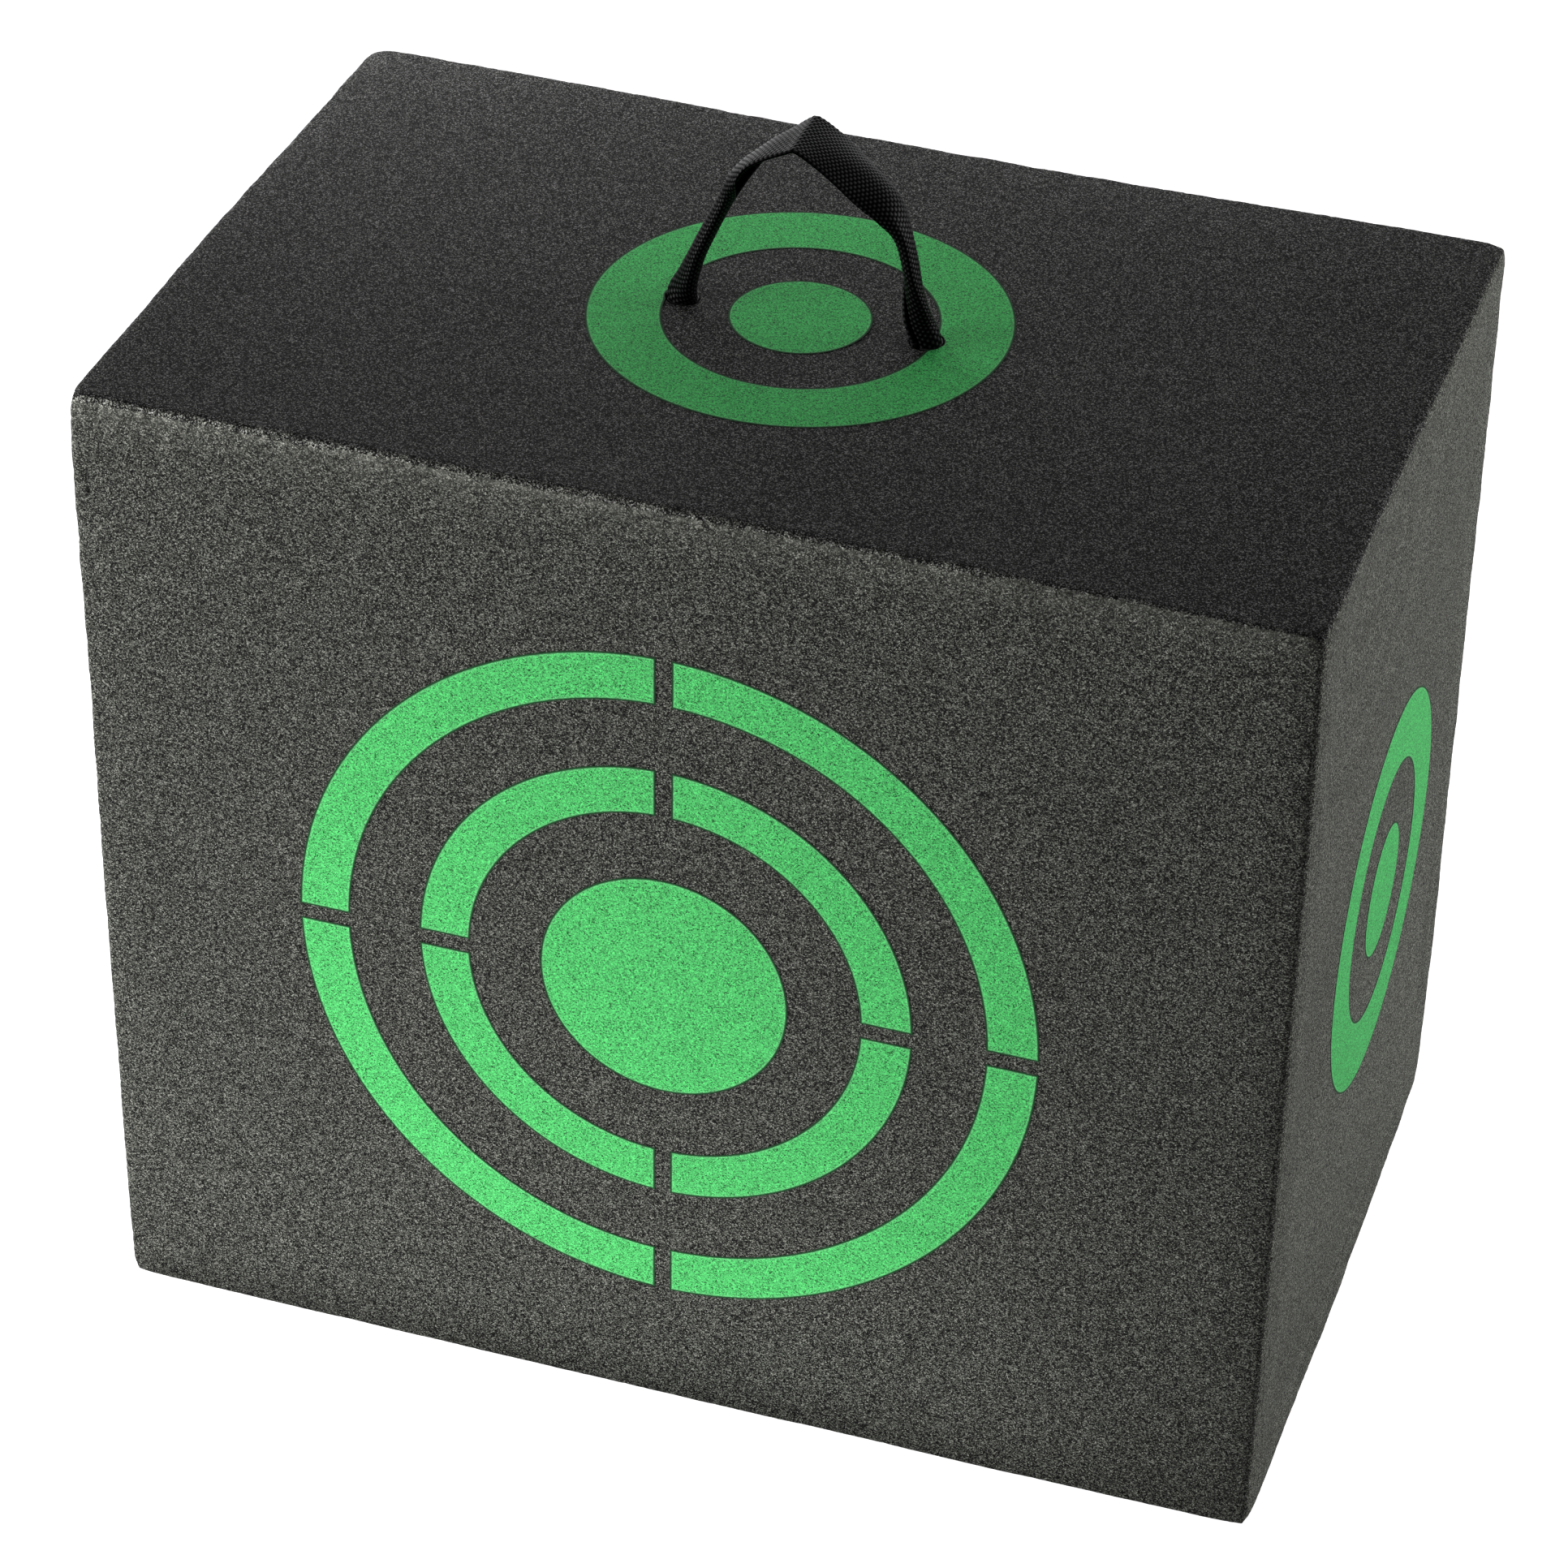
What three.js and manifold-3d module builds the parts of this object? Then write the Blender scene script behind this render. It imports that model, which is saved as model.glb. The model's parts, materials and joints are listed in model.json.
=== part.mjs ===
// Archery target boss: a block of fused closed-cell foam sheets with printed target rings and a
// webbing carry loop. Millimetres, +Z up, +Y away from the main face. The origin is the middle of
// the block's underside.
//
// The sheets stand face to face behind the main face and are fused into one block. The carry loop
// is one length of webbing. It comes up through two punched holes on the middle joint, and its
// tails run down inside that joint to a rod that lies across the foam.

import * as THREE from 'three';
import Module from 'manifold-3d';
import { mergeVertices } from 'three/addons/utils/BufferGeometryUtils.js';
import { RoundedBoxGeometry } from 'three/addons/geometries/RoundedBoxGeometry.js';

const wasm = await Module();
wasm.setup();

// Driving dimensions of the block
const blockWidth = 400;
const blockHeight = 350;
const sheetThickness = 25;
const sheetCount = 10;
const edgeRadius = 3;
const edgeSteps = 2;

// Driving dimensions of the printed targets
const inkThickness = 0.3;
const mainTargetDiameter = 250;
const mainCrossGap = 6;
const sideTargetDiameter = 137;
const mainTargetShiftX = -4;
const mainTargetShiftZ = -3;
const endTargetShiftY = 8;
const endTargetShiftZ = -7;
const topTargetShiftX = -2.7;
const topTargetShiftY = 0.7;
const circleSteps = 72;

// Ring edges as shares of their target's radius
const mainSpotShare = 5 / 15;
const mainInnerRingShares = [8 / 15, 10 / 15];
const mainOuterRingShares = [13 / 15, 1];
const sideSpotShare = 1 / 3;
const sideRingShares = [0.655, 1];

// Driving dimensions of the webbing and its loop. Each leg is rolled up with its seam on the
// inside. The roll is flattened under the loop's shoulders and round where it stands in its hole.
const webbingWidth = 25;
const webbingThickness = 1.6;
const loopSpan = 82;
const loopHeight = 66;
const loopShiftX = -1;
const legLength = 35;
const legFlareLength = 15;
const legStretch = 2.2;
const rollCurl = THREE.MathUtils.degToRad(325);
const leastCurl = THREE.MathUtils.degToRad(0.1);
const footTurn = THREE.MathUtils.degToRad(65);
const legTurn = THREE.MathUtils.degToRad(12);
const footClearance = 0.3;
const webbingColumns = 12;
const loopSteps = 60;

// The loop's centre line as shares of half its span and of its height, from the left foot. It
// starts and ends below the foot's rounded end, and is creased at its highest point.
const loopShares = [
  [-1, -0.06], [-1, 0], [-0.98, 0.08], [-0.87, 0.28], [-0.7, 0.52], [-0.61, 0.65], [-0.52, 0.74],
  [-0.39, 0.84], [-0.24, 0.93], [-0.08, 0.985], [-0.02, 1], [0.04, 0.985], [0.29, 0.885],
  [0.53, 0.755], [0.68, 0.665], [0.78, 0.57], [0.83, 0.5], [0.875, 0.37], [0.905, 0.25],
  [0.955, 0.1], [1, 0], [1, -0.06],
];

// Driving dimensions of the hidden tails and the rod that they hang on
const fitClearance = 0.4;
const rodDiameter = 8;
const rodOverhang = 8;
const rodChamfer = 0.8;
const rodDepth = 150;
const tailTwistLength = 25;
const tailSpreadLength = 40;
const tailSteps = 18;
const seamLength = 30;
const eyeHeight = 14;
const eyeSteps = 12;

// Sizes that follow from these
const blockDepth = sheetCount * sheetThickness;
const rollRadius = webbingWidth / rollCurl + webbingThickness / 2;
const holeRadius = rollRadius + fitClearance;
const hingeHeight = blockHeight + inkThickness + footClearance + rollRadius;
const footX = [loopShiftX - loopSpan / 2, loopShiftX + loopSpan / 2];

const foam = new THREE.MeshStandardMaterial({ color: 0x4d4d49, roughness: 0.96, metalness: 0 });
const ink = new THREE.MeshStandardMaterial({ color: 0x3cab58, roughness: 0.9, metalness: 0 });
const webbing = new THREE.MeshStandardMaterial({ color: 0x161616, roughness: 0.8, metalness: 0 });
const nylon = new THREE.MeshStandardMaterial({ color: 0xd9d5c9, roughness: 0.5, metalness: 0 });

const axisX = new THREE.Vector3(1, 0, 0);
const axisY = new THREE.Vector3(0, 1, 0);
const axisZ = new THREE.Vector3(0, 0, 1);

const boss = new THREE.Group();
boss.name = 'target_boss';

// Add one named piece to the boss
function addPiece(name, geometry, material) {
  const mesh = new THREE.Mesh(geometry, material);
  mesh.name = name;
  boss.add(mesh);
  return mesh;
}

// Turn a closed geometry into a solid that can be cut and joined
function solidOf(geometry) {
  const bare = new THREE.BufferGeometry();
  bare.setAttribute('position', geometry.getAttribute('position').clone());
  if (geometry.index) bare.setIndex(geometry.index.clone());
  const merged = mergeVertices(bare);
  return new wasm.Manifold(new wasm.Mesh({
    numProp: 3,
    vertProperties: new Float32Array(merged.getAttribute('position').array),
    triVerts: new Uint32Array(merged.index.array),
  }));
}

// Turn a solid back into a geometry
function geometryOf(solid) {
  const mesh = solid.getMesh();
  const positions = new Float32Array(mesh.numVert * 3);
  for (let i = 0; i < mesh.numVert; i += 1) {
    for (let k = 0; k < 3; k += 1) positions[3 * i + k] = mesh.vertProperties[mesh.numProp * i + k];
  }
  const geometry = new THREE.BufferGeometry();
  geometry.setAttribute('position', new THREE.BufferAttribute(positions, 3));
  geometry.setIndex([...mesh.triVerts]);
  geometry.computeVertexNormals();
  return geometry;
}

// A box between two corners
function boxBetween(low, high) {
  const size = high.clone().sub(low);
  const middle = high.clone().add(low).multiplyScalar(0.5);
  return new THREE.BoxGeometry(size.x, size.y, size.z).translate(middle.x, middle.y, middle.z);
}

// A round bar along X, centred on a point
function barAlongX(radius, length, centre, steps) {
  const bar = new THREE.CylinderGeometry(radius, radius, length, steps);
  bar.applyMatrix4(axesMatrix(axisY.clone().negate(), axisX, axisZ));
  return bar.translate(centre.x, centre.y, centre.z);
}

// A matrix that sends the three local axes to the given ones
function axesMatrix(x, y, z) {
  return new THREE.Matrix4().makeBasis(x, y, z);
}

// Points on an arc about the origin, from one angle to another
function arcPoints(radius, from, to, steps) {
  const points = [];
  for (let i = 0; i <= steps; i += 1) {
    const angle = from + ((to - from) * i) / steps;
    points.push(new THREE.Vector2(radius * Math.cos(angle), radius * Math.sin(angle)));
  }
  return points;
}

// Points all round a circle
function circlePoints(radius, steps) {
  return arcPoints(radius, 0, 2 * Math.PI, steps).slice(0, steps);
}

// The same outline, running anticlockwise
function anticlockwise(points) {
  return THREE.ShapeUtils.isClockWise(points) ? points.slice().reverse() : points;
}

// An extruded outline, with an optional hole, from z = 0 upwards
function extrudeOutline(points, depth, holePoints) {
  const shape = new THREE.Shape(anticlockwise(points));
  if (holePoints) shape.holes.push(new THREE.Path(anticlockwise(holePoints)));
  return new THREE.ExtrudeGeometry(shape, { depth, bevelEnabled: false, steps: 1 });
}

// The outer and inner skin points of one webbing section, from one selvedge to the other. Curl is
// the angle through which its width is rolled up, and stretch makes the roll broad and flat.
function webbingSection(centre, across, outward, curl, stretch) {
  const half = webbingThickness / 2;
  const angles = [];
  const middle = [];
  for (let i = 0; i <= webbingColumns; i += 1) {
    const angle = Math.max(curl, leastCurl) * (i / webbingColumns - 0.5);
    angles.push(angle);
    middle.push(new THREE.Vector2(stretch * Math.sin(angle), Math.cos(angle) - 1));
  }
  let girth = 0;
  for (let i = 0; i < webbingColumns; i += 1) girth += middle[i].distanceTo(middle[i + 1]);
  const balance = new THREE.Box2().setFromPoints(middle).getCenter(new THREE.Vector2());
  const outer = [];
  const inner = [];
  middle.forEach((point, i) => {
    const flat = point.clone().sub(balance).multiplyScalar(webbingWidth / girth);
    const skin = new THREE.Vector2(Math.sin(angles[i]), stretch * Math.cos(angles[i])).setLength(half);
    for (const [row, sign] of [[outer, 1], [inner, -1]]) {
      const place = flat.clone().addScaledVector(skin, sign);
      row.push(centre.clone().addScaledVector(across, place.x).addScaledVector(outward, place.y));
    }
  });
  return [outer, inner];
}

// A closed band through a row of sections, each a pair of equally long point rows
function bandGeometry(sections) {
  const columns = sections[0][0].length;
  const ringSize = 2 * columns;
  const positions = [];
  const index = [];
  for (const [outer, inner] of sections) {
    for (const point of [...outer, ...inner.slice().reverse()]) positions.push(...point.toArray());
  }
  const quad = (a, b, c, d) => index.push(a, b, c, a, c, d);
  for (let s = 0; s + 1 < sections.length; s += 1) {
    for (let i = 0; i < ringSize; i += 1) {
      const next = (i + 1) % ringSize;
      quad(s * ringSize + i, (s + 1) * ringSize + i, (s + 1) * ringSize + next, s * ringSize + next);
    }
  }
  const last = (sections.length - 1) * ringSize;
  for (let i = 0; i + 1 < columns; i += 1) {
    const across = ringSize - 1 - i;
    quad(i, i + 1, across - 1, across);
    quad(last + across, last + across - 1, last + i + 1, last + i);
  }
  const geometry = new THREE.BufferGeometry();
  geometry.setAttribute('position', new THREE.Float32BufferAttribute(positions, 3));
  geometry.setIndex(index);
  geometry.computeVertexNormals();
  return geometry;
}

// The block's rounded outside, which every sheet is trimmed to
function blockEnvelope() {
  const box = new RoundedBoxGeometry(blockWidth, blockDepth, blockHeight, edgeSteps, edgeRadius);
  return solidOf(box.translate(0, 0, blockHeight / 2));
}

// How far the tail has turned towards the joint at a depth, and how much it is still rolled up
function tailState(depth) {
  const turned = THREE.MathUtils.smoothstep(depth, 0, tailTwistLength);
  const spread = THREE.MathUtils.smoothstep(depth, tailTwistLength, tailTwistLength + tailSpreadLength);
  return { turn: THREE.MathUtils.lerp(footTurn, Math.PI / 2, turned), curl: rollCurl * (1 - spread) };
}

// The half sizes of a section rolled up by an angle, across it and along its outward direction
function rollReach(curl) {
  const points = webbingSection(new THREE.Vector3(), axisX, axisY, curl, 1).flat();
  const size = new THREE.Box3().setFromPoints(points).getSize(new THREE.Vector3());
  return [size.x / 2, size.y / 2];
}

// The sections of one tail, from its stitched seam up to the block's top face
function tailSections(x, side) {
  const sections = [];
  const bottom = rodDepth - eyeHeight - seamLength / 2;
  const spreadEnd = tailTwistLength + tailSpreadLength;
  const depths = [bottom];
  for (let i = tailSteps; i >= 0; i -= 1) depths.push((spreadEnd * i) / tailSteps);
  for (const depth of depths) {
    const { turn, curl } = tailState(depth);
    const centre = new THREE.Vector3(x, 0, blockHeight - depth);
    const across = new THREE.Vector3(side * Math.sin(turn), -side * Math.cos(turn), 0);
    const outward = new THREE.Vector3(side * Math.cos(turn), side * Math.sin(turn), 0);
    sections.push(webbingSection(centre, across, outward, curl, 1));
  }
  return sections;
}

// The outline of the tail's eye about the rod, seen along X, grown by a margin
function eyeOutline(margin) {
  const reach = rodDiameter / 2 + fitClearance + webbingThickness + margin;
  const seam = webbingThickness + margin;
  const points = arcPoints(reach, 0, -Math.PI, eyeSteps);
  const side = new THREE.QuadraticBezierCurve(
    new THREE.Vector2(-reach, 0),
    new THREE.Vector2(-reach, eyeHeight / 2),
    new THREE.Vector2(-seam, eyeHeight),
  ).getPoints(eyeSteps).slice(1);
  const up = side.map((point) => point.clone());
  points.push(...up, new THREE.Vector2(-seam, eyeHeight + seamLength + margin));
  points.push(new THREE.Vector2(seam, eyeHeight + seamLength + margin));
  points.push(...side.reverse().map((point) => new THREE.Vector2(-point.x, point.y)));
  return points;
}

// The eye's inside, which the rod passes through
function eyeHole() {
  const reach = rodDiameter / 2 + fitClearance;
  const tip = eyeHeight - webbingThickness;
  const side = new THREE.QuadraticBezierCurve(
    new THREE.Vector2(-reach, 0),
    new THREE.Vector2(-reach, tip / 2),
    new THREE.Vector2(0, tip),
  ).getPoints(eyeSteps).slice(1, eyeSteps);
  return [
    ...arcPoints(reach, 0, -Math.PI, eyeSteps),
    ...side,
    new THREE.Vector2(0, tip),
    ...side.slice().reverse().map((point) => new THREE.Vector2(-point.x, point.y)),
  ];
}

// Extrude an outline drawn in Y and Z along X, centred on the tail
function alongTail(points, width, x, hole) {
  const geometry = extrudeOutline(points, width, hole);
  geometry.translate(0, 0, -width / 2);
  geometry.applyMatrix4(axesMatrix(axisY, axisZ, axisX));
  return geometry.translate(x, 0, blockHeight - rodDepth);
}

// One tail: gathered in the hole, spread flat in the joint and sewn back round the rod
function tailGeometry(x, side) {
  const strap = solidOf(bandGeometry(tailSections(x, side)));
  const eye = solidOf(alongTail(eyeOutline(0), webbingWidth, x, eyeHole()));
  return geometryOf(strap.add(eye));
}

// The pocket that one tail fills: the punched hole, the spreading cut, the slot and the eye
function tailPocket(x) {
  const overrun = edgeRadius;
  const hole = new THREE.CylinderGeometry(holeRadius, holeRadius, tailTwistLength + overrun, circleSteps / 2);
  hole.applyMatrix4(axesMatrix(axisX, axisZ, axisY.clone().negate()));
  hole.translate(x, 0, blockHeight + (overrun - tailTwistLength) / 2);
  const sections = [];
  const bottom = rodDepth - eyeHeight - seamLength / 2;
  const depths = [bottom];
  for (let i = tailSteps; i >= 0; i -= 1) {
    depths.push(tailTwistLength - fitClearance + ((tailSpreadLength + fitClearance) * i) / tailSteps);
  }
  for (const depth of depths) {
    const [side, thick] = rollReach(tailState(depth).curl).map((reach) => reach + fitClearance);
    const z = blockHeight - depth;
    sections.push([
      [new THREE.Vector3(x - side, thick, z), new THREE.Vector3(x + side, thick, z)],
      [new THREE.Vector3(x - side, -thick, z), new THREE.Vector3(x + side, -thick, z)],
    ]);
  }
  const eye = alongTail(eyeOutline(fitClearance), webbingWidth + 2 * fitClearance, x);
  return solidOf(hole).add(solidOf(bandGeometry(sections))).add(solidOf(eye));
}

const rodLength = loopSpan + webbingWidth + 2 * rodOverhang;
const rodCentre = new THREE.Vector3(loopShiftX, 0, blockHeight - rodDepth);

// The rod: a chamfered round bar
function rodGeometry() {
  const radius = rodDiameter / 2;
  const end = rodLength / 2;
  const profile = [
    [0, -end], [radius - rodChamfer, -end], [radius, rodChamfer - end],
    [radius, end - rodChamfer], [radius - rodChamfer, end], [0, end],
  ].map(([r, h]) => new THREE.Vector2(r, h));
  const rod = new THREE.LatheGeometry(profile, 2 * eyeSteps);
  rod.applyMatrix4(axesMatrix(axisY.clone().negate(), axisX, axisZ));
  return rod.translate(rodCentre.x, rodCentre.y, rodCentre.z);
}

// The channel that the rod lies in
function rodChannel() {
  return solidOf(barAlongX(rodDiameter / 2 + fitClearance, rodLength + 2 * fitClearance, rodCentre, 2 * eyeSteps));
}

// The foam sheets, front to back, trimmed to the block's outside and cut for the handle
function addSheets() {
  const envelope = blockEnvelope();
  const handleSpace = footX.map(tailPocket).reduce((sum, pocket) => sum.add(pocket), rodChannel());
  for (let i = 0; i < sheetCount; i += 1) {
    const front = i * sheetThickness - blockDepth / 2;
    const low = new THREE.Vector3(-blockWidth / 2, front, 0);
    const high = new THREE.Vector3(blockWidth / 2, front + sheetThickness, blockHeight);
    const sheet = envelope.intersect(solidOf(boxBetween(low, high)));
    const besideJoint = i + 1 === sheetCount / 2 || i === sheetCount / 2;
    const name = `foam_sheet_${String(i + 1).padStart(2, '0')}`;
    addPiece(name, geometryOf(besideJoint ? sheet.subtract(handleSpace) : sheet), foam);
  }
}

// The five printed faces: the middle of each, with its directions to the right, up and outwards
const faces = {
  front: {
    right: axisX, up: axisZ, out: axisY.clone().negate(),
    middle: new THREE.Vector3(mainTargetShiftX, -blockDepth / 2, blockHeight / 2 + mainTargetShiftZ),
  },
  back: {
    right: axisX.clone().negate(), up: axisZ, out: axisY,
    middle: new THREE.Vector3(0, blockDepth / 2, blockHeight / 2),
  },
  right: {
    right: axisY, up: axisZ, out: axisX,
    middle: new THREE.Vector3(blockWidth / 2, endTargetShiftY, blockHeight / 2 + endTargetShiftZ),
  },
  left: {
    right: axisY.clone().negate(), up: axisZ, out: axisX.clone().negate(),
    middle: new THREE.Vector3(-blockWidth / 2, 0, blockHeight / 2),
  },
  top: {
    right: axisX, up: axisY, out: axisZ,
    middle: new THREE.Vector3(topTargetShiftX, topTargetShiftY, blockHeight),
  },
};

// Print one flat shape on a face
function printOn(faceName, partName, points, holePoints) {
  const { right, up, out, middle } = faces[faceName];
  const layer = extrudeOutline(points, inkThickness, holePoints).applyMatrix4(axesMatrix(right, up, out));
  const mesh = addPiece(`${faceName}_${partName}`, layer, ink);
  mesh.position.copy(middle);
  return mesh;
}

// One quarter of a ring whose ends are cut square to leave the cross-shaped gap
function quarterRing(innerRadius, outerRadius, quarter) {
  const half = mainCrossGap / 2;
  const steps = circleSteps / 4;
  const trim = (radius) => Math.asin(half / radius);
  const outer = arcPoints(outerRadius, trim(outerRadius), Math.PI / 2 - trim(outerRadius), steps);
  const inner = arcPoints(innerRadius, Math.PI / 2 - trim(innerRadius), trim(innerRadius), steps);
  const turnOnce = (point) => new THREE.Vector2(-point.y, point.x);
  return [...outer, ...inner].map((point) => {
    let turned = point;
    for (let i = 0; i < quarter; i += 1) turned = turnOnce(turned);
    return turned;
  });
}

const quarterNames = ['upper_right', 'upper_left', 'lower_left', 'lower_right'];

// The large target: a spot inside two rings, each ring in four quarters
function printMainTarget(faceName) {
  const radius = mainTargetDiameter / 2;
  printOn(faceName, 'spot', circlePoints(radius * mainSpotShare, circleSteps));
  const rings = { inner_ring: mainInnerRingShares, outer_ring: mainOuterRingShares };
  for (const [ringName, [from, to]] of Object.entries(rings)) {
    quarterNames.forEach((quarterName, quarter) => {
      const outline = quarterRing(radius * from, radius * to, quarter);
      printOn(faceName, `${ringName}_${quarterName}`, outline);
    });
  }
}

// The small target: a spot inside one whole ring
function printSideTarget(faceName) {
  const radius = sideTargetDiameter / 2;
  const [from, to] = sideRingShares.map((share) => share * radius);
  printOn(faceName, 'spot', circlePoints(radius * sideSpotShare, circleSteps));
  return printOn(faceName, 'ring', circlePoints(to, circleSteps), circlePoints(from, circleSteps));
}

// The top ring is open where the holes for the loop are punched through it
function openRingAtHoles(ring) {
  let solid = solidOf(ring.geometry);
  for (const x of footX) {
    const punch = new THREE.CylinderGeometry(holeRadius, holeRadius, 3 * inkThickness, circleSteps / 2);
    punch.applyMatrix4(axesMatrix(axisX, axisZ, axisY.clone().negate()));
    punch.translate(x - ring.position.x, -ring.position.y, inkThickness / 2);
    solid = solid.subtract(solidOf(punch));
  }
  ring.geometry = geometryOf(solid);
}

// The loop's centre line over the block
function loopCurve() {
  const points = loopShares.map(([across, up]) => new THREE.Vector3(
    loopShiftX + (across * loopSpan) / 2, 0, blockHeight + up * loopHeight,
  ));
  return new THREE.CatmullRomCurve3(points, false, 'centripetal');
}

// How one leg of the loop lies at a distance above its foot: how far it has turned, how much of
// its width is rolled up and how flat the roll is
function legState(toFoot) {
  const rolled = 1 - THREE.MathUtils.smoothstep(toFoot, legLength, legLength + legFlareLength);
  const flattened = THREE.MathUtils.smoothstep(toFoot, 0, legLength);
  return {
    turn: THREE.MathUtils.lerp(footTurn, legTurn, flattened) * rolled,
    curl: rollCurl * rolled,
    stretch: THREE.MathUtils.lerp(1, legStretch, flattened * rolled),
  };
}

// The carry loop: flat webbing over the top, rolled up down each leg. Each foot ends round about
// the line that the loop flops over on.
function loopGeometry() {
  const curve = loopCurve();
  const length = curve.getLength();
  const sections = [];
  for (let i = 0; i <= loopSteps; i += 1) {
    const share = i / loopSteps;
    const centre = curve.getPointAt(share);
    const along = curve.getTangentAt(share);
    const side = share < 0.5 ? -1 : 1;
    const { turn, curl, stretch } = legState(Math.min(share, 1 - share) * length);
    const outward = new THREE.Vector3(-along.z, 0, along.x);
    const across = axisY.clone().multiplyScalar(Math.cos(turn)).addScaledVector(outward, -side * Math.sin(turn));
    const turned = outward.multiplyScalar(Math.cos(turn)).addScaledVector(axisY, side * Math.sin(turn));
    sections.push(webbingSection(centre, across, turned, curl, stretch));
  }
  const strap = solidOf(bandGeometry(sections));
  const reach = new THREE.Vector3(loopSpan, webbingWidth, 2 * loopHeight);
  const hinge = new THREE.Vector3(loopShiftX, 0, hingeHeight);
  const above = boxBetween(
    new THREE.Vector3(hinge.x - reach.x, -reach.y, hinge.z),
    new THREE.Vector3(hinge.x + reach.x, reach.y, hinge.z + reach.z),
  );
  const rounded = barAlongX(rollRadius, 2 * reach.x, hinge, circleSteps);
  return geometryOf(strap.intersect(solidOf(above).add(solidOf(rounded))));
}

addSheets();
printMainTarget('front');
printMainTarget('back');
printSideTarget('right');
printSideTarget('left');
openRingAtHoles(printSideTarget('top'));
addPiece('carry_loop', loopGeometry(), webbing);
addPiece('tail_left', tailGeometry(footX[0], -1), webbing);
addPiece('tail_right', tailGeometry(footX[1], 1), webbing);
addPiece('anchor_rod', rodGeometry(), nylon);

export default boss;
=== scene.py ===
import json
import math
from functools import partial
from itertools import pairwise, product

import bmesh
import bpy
import numpy as np
from mathutils import Matrix, Vector, noise


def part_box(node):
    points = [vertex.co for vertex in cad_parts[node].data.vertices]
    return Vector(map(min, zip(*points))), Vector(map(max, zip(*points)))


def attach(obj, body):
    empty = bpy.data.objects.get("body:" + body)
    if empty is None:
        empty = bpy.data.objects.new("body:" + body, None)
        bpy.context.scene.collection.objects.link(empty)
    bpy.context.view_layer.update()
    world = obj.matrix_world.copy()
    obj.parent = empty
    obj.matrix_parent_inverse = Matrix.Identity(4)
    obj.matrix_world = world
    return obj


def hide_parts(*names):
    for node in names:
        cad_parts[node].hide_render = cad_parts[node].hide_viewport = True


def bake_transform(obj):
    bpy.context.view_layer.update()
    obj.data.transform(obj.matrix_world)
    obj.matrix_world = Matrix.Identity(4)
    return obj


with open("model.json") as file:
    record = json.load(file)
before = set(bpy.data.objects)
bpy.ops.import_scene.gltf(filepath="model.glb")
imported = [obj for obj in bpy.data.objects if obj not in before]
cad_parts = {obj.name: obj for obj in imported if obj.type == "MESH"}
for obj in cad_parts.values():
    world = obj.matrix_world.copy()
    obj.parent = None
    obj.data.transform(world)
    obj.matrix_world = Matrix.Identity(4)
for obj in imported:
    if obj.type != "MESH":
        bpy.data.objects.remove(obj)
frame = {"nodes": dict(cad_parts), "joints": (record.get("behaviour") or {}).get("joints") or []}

bl_info = {
    "name": "Archery Target Boss",
    "version": (1, 0, 0),
    "blender": (4, 5, 0),
    "location": "3D Viewport > Sidebar > Target Boss",
    "description": "Dresses a foam target block with printed rings and a webbing carry loop",
    "category": "Object",
}

MM = 0.001
UP = Vector((0.0, 0.0, 1.0))

# Points nearer than this are one point
TOUCHING = 0.001 * MM


def centre_of(name):
    """The middle of a CAD piece's box."""
    low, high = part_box(name)
    return (low + high) / 2


# The boss as the frame gives it
SHEETS = sorted(name for name in frame["nodes"] if name.startswith("foam_sheet_"))
LOW = np.min([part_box(name)[0] for name in SHEETS], axis=0)
HIGH = np.max([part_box(name)[1] for name in SHEETS], axis=0)
TOP = HIGH[2]
LOOP_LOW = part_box("carry_loop")[0]
TAILS = ("tail_left", "tail_right")
FEET = [centre_of(name) for name in TAILS]
HINGE = Vector(frame["joints"][0]["pos_m"])
ROLL_RADIUS = HINGE.z - LOOP_LOW.z
FIT_CLEARANCE = 0.4 * MM
# The punched holes are a little wider than the tails' pockets, so that no two walls coincide
HOLE_RADIUS = ROLL_RADIUS + FIT_CLEARANCE + 0.15 * MM
HOLE_DEPTH = 25 * MM

# The camera that took the reference view, and the picture that it made
PICTURE_PIXELS = 1932
FOCAL_PIXELS = 6325.1
CAMERA_PLACE = Vector((0.43408, -1.35372, 1.17312))
CAMERA_AIM = Vector((-0.2520, 0.7768, -0.5771)).normalized()
CAMERA_ROLL = math.radians(0.96)
SENSOR_MM = 36.0


def linear(hex_colour):
    """An sRGB hex colour as the linear RGBA that shader sockets take."""
    channels = [int(hex_colour[i:i + 2], 16) / 255 for i in (1, 3, 5)]
    low = [c / 12.92 if c <= 0.04045 else ((c + 0.055) / 1.055) ** 2.4 for c in channels]
    return (*low, 1.0)


def smooth(value, low, high):
    """A smooth step from 0 at low to 1 at high, for numbers and arrays."""
    t = np.clip((value - low) / (high - low), 0, 1)
    return t * t * (3 - 2 * t)


def mix(a, b, t):
    """The value that lies t of the way from a to b."""
    return a + (b - a) * t


# Settings that a user would change

def number_setting(name, description, default, least=0.0, **more):
    """A number with its smallest value."""
    return bpy.props.FloatProperty(
        name=name, description=description, default=default, min=least, **more)


def length_setting(name, description, default, least=0.0):
    """A length in metres."""
    return number_setting(name, description, default, least, unit="LENGTH")


def power_setting(name, description, default):
    """A lamp's power in watts."""
    return number_setting(name, description, default, unit="POWER")


def colour_setting(name, description, default):
    """A colour as an sRGB hex code."""
    return bpy.props.StringProperty(
        name=name, description=description + ", sRGB hex", default=default)


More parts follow.
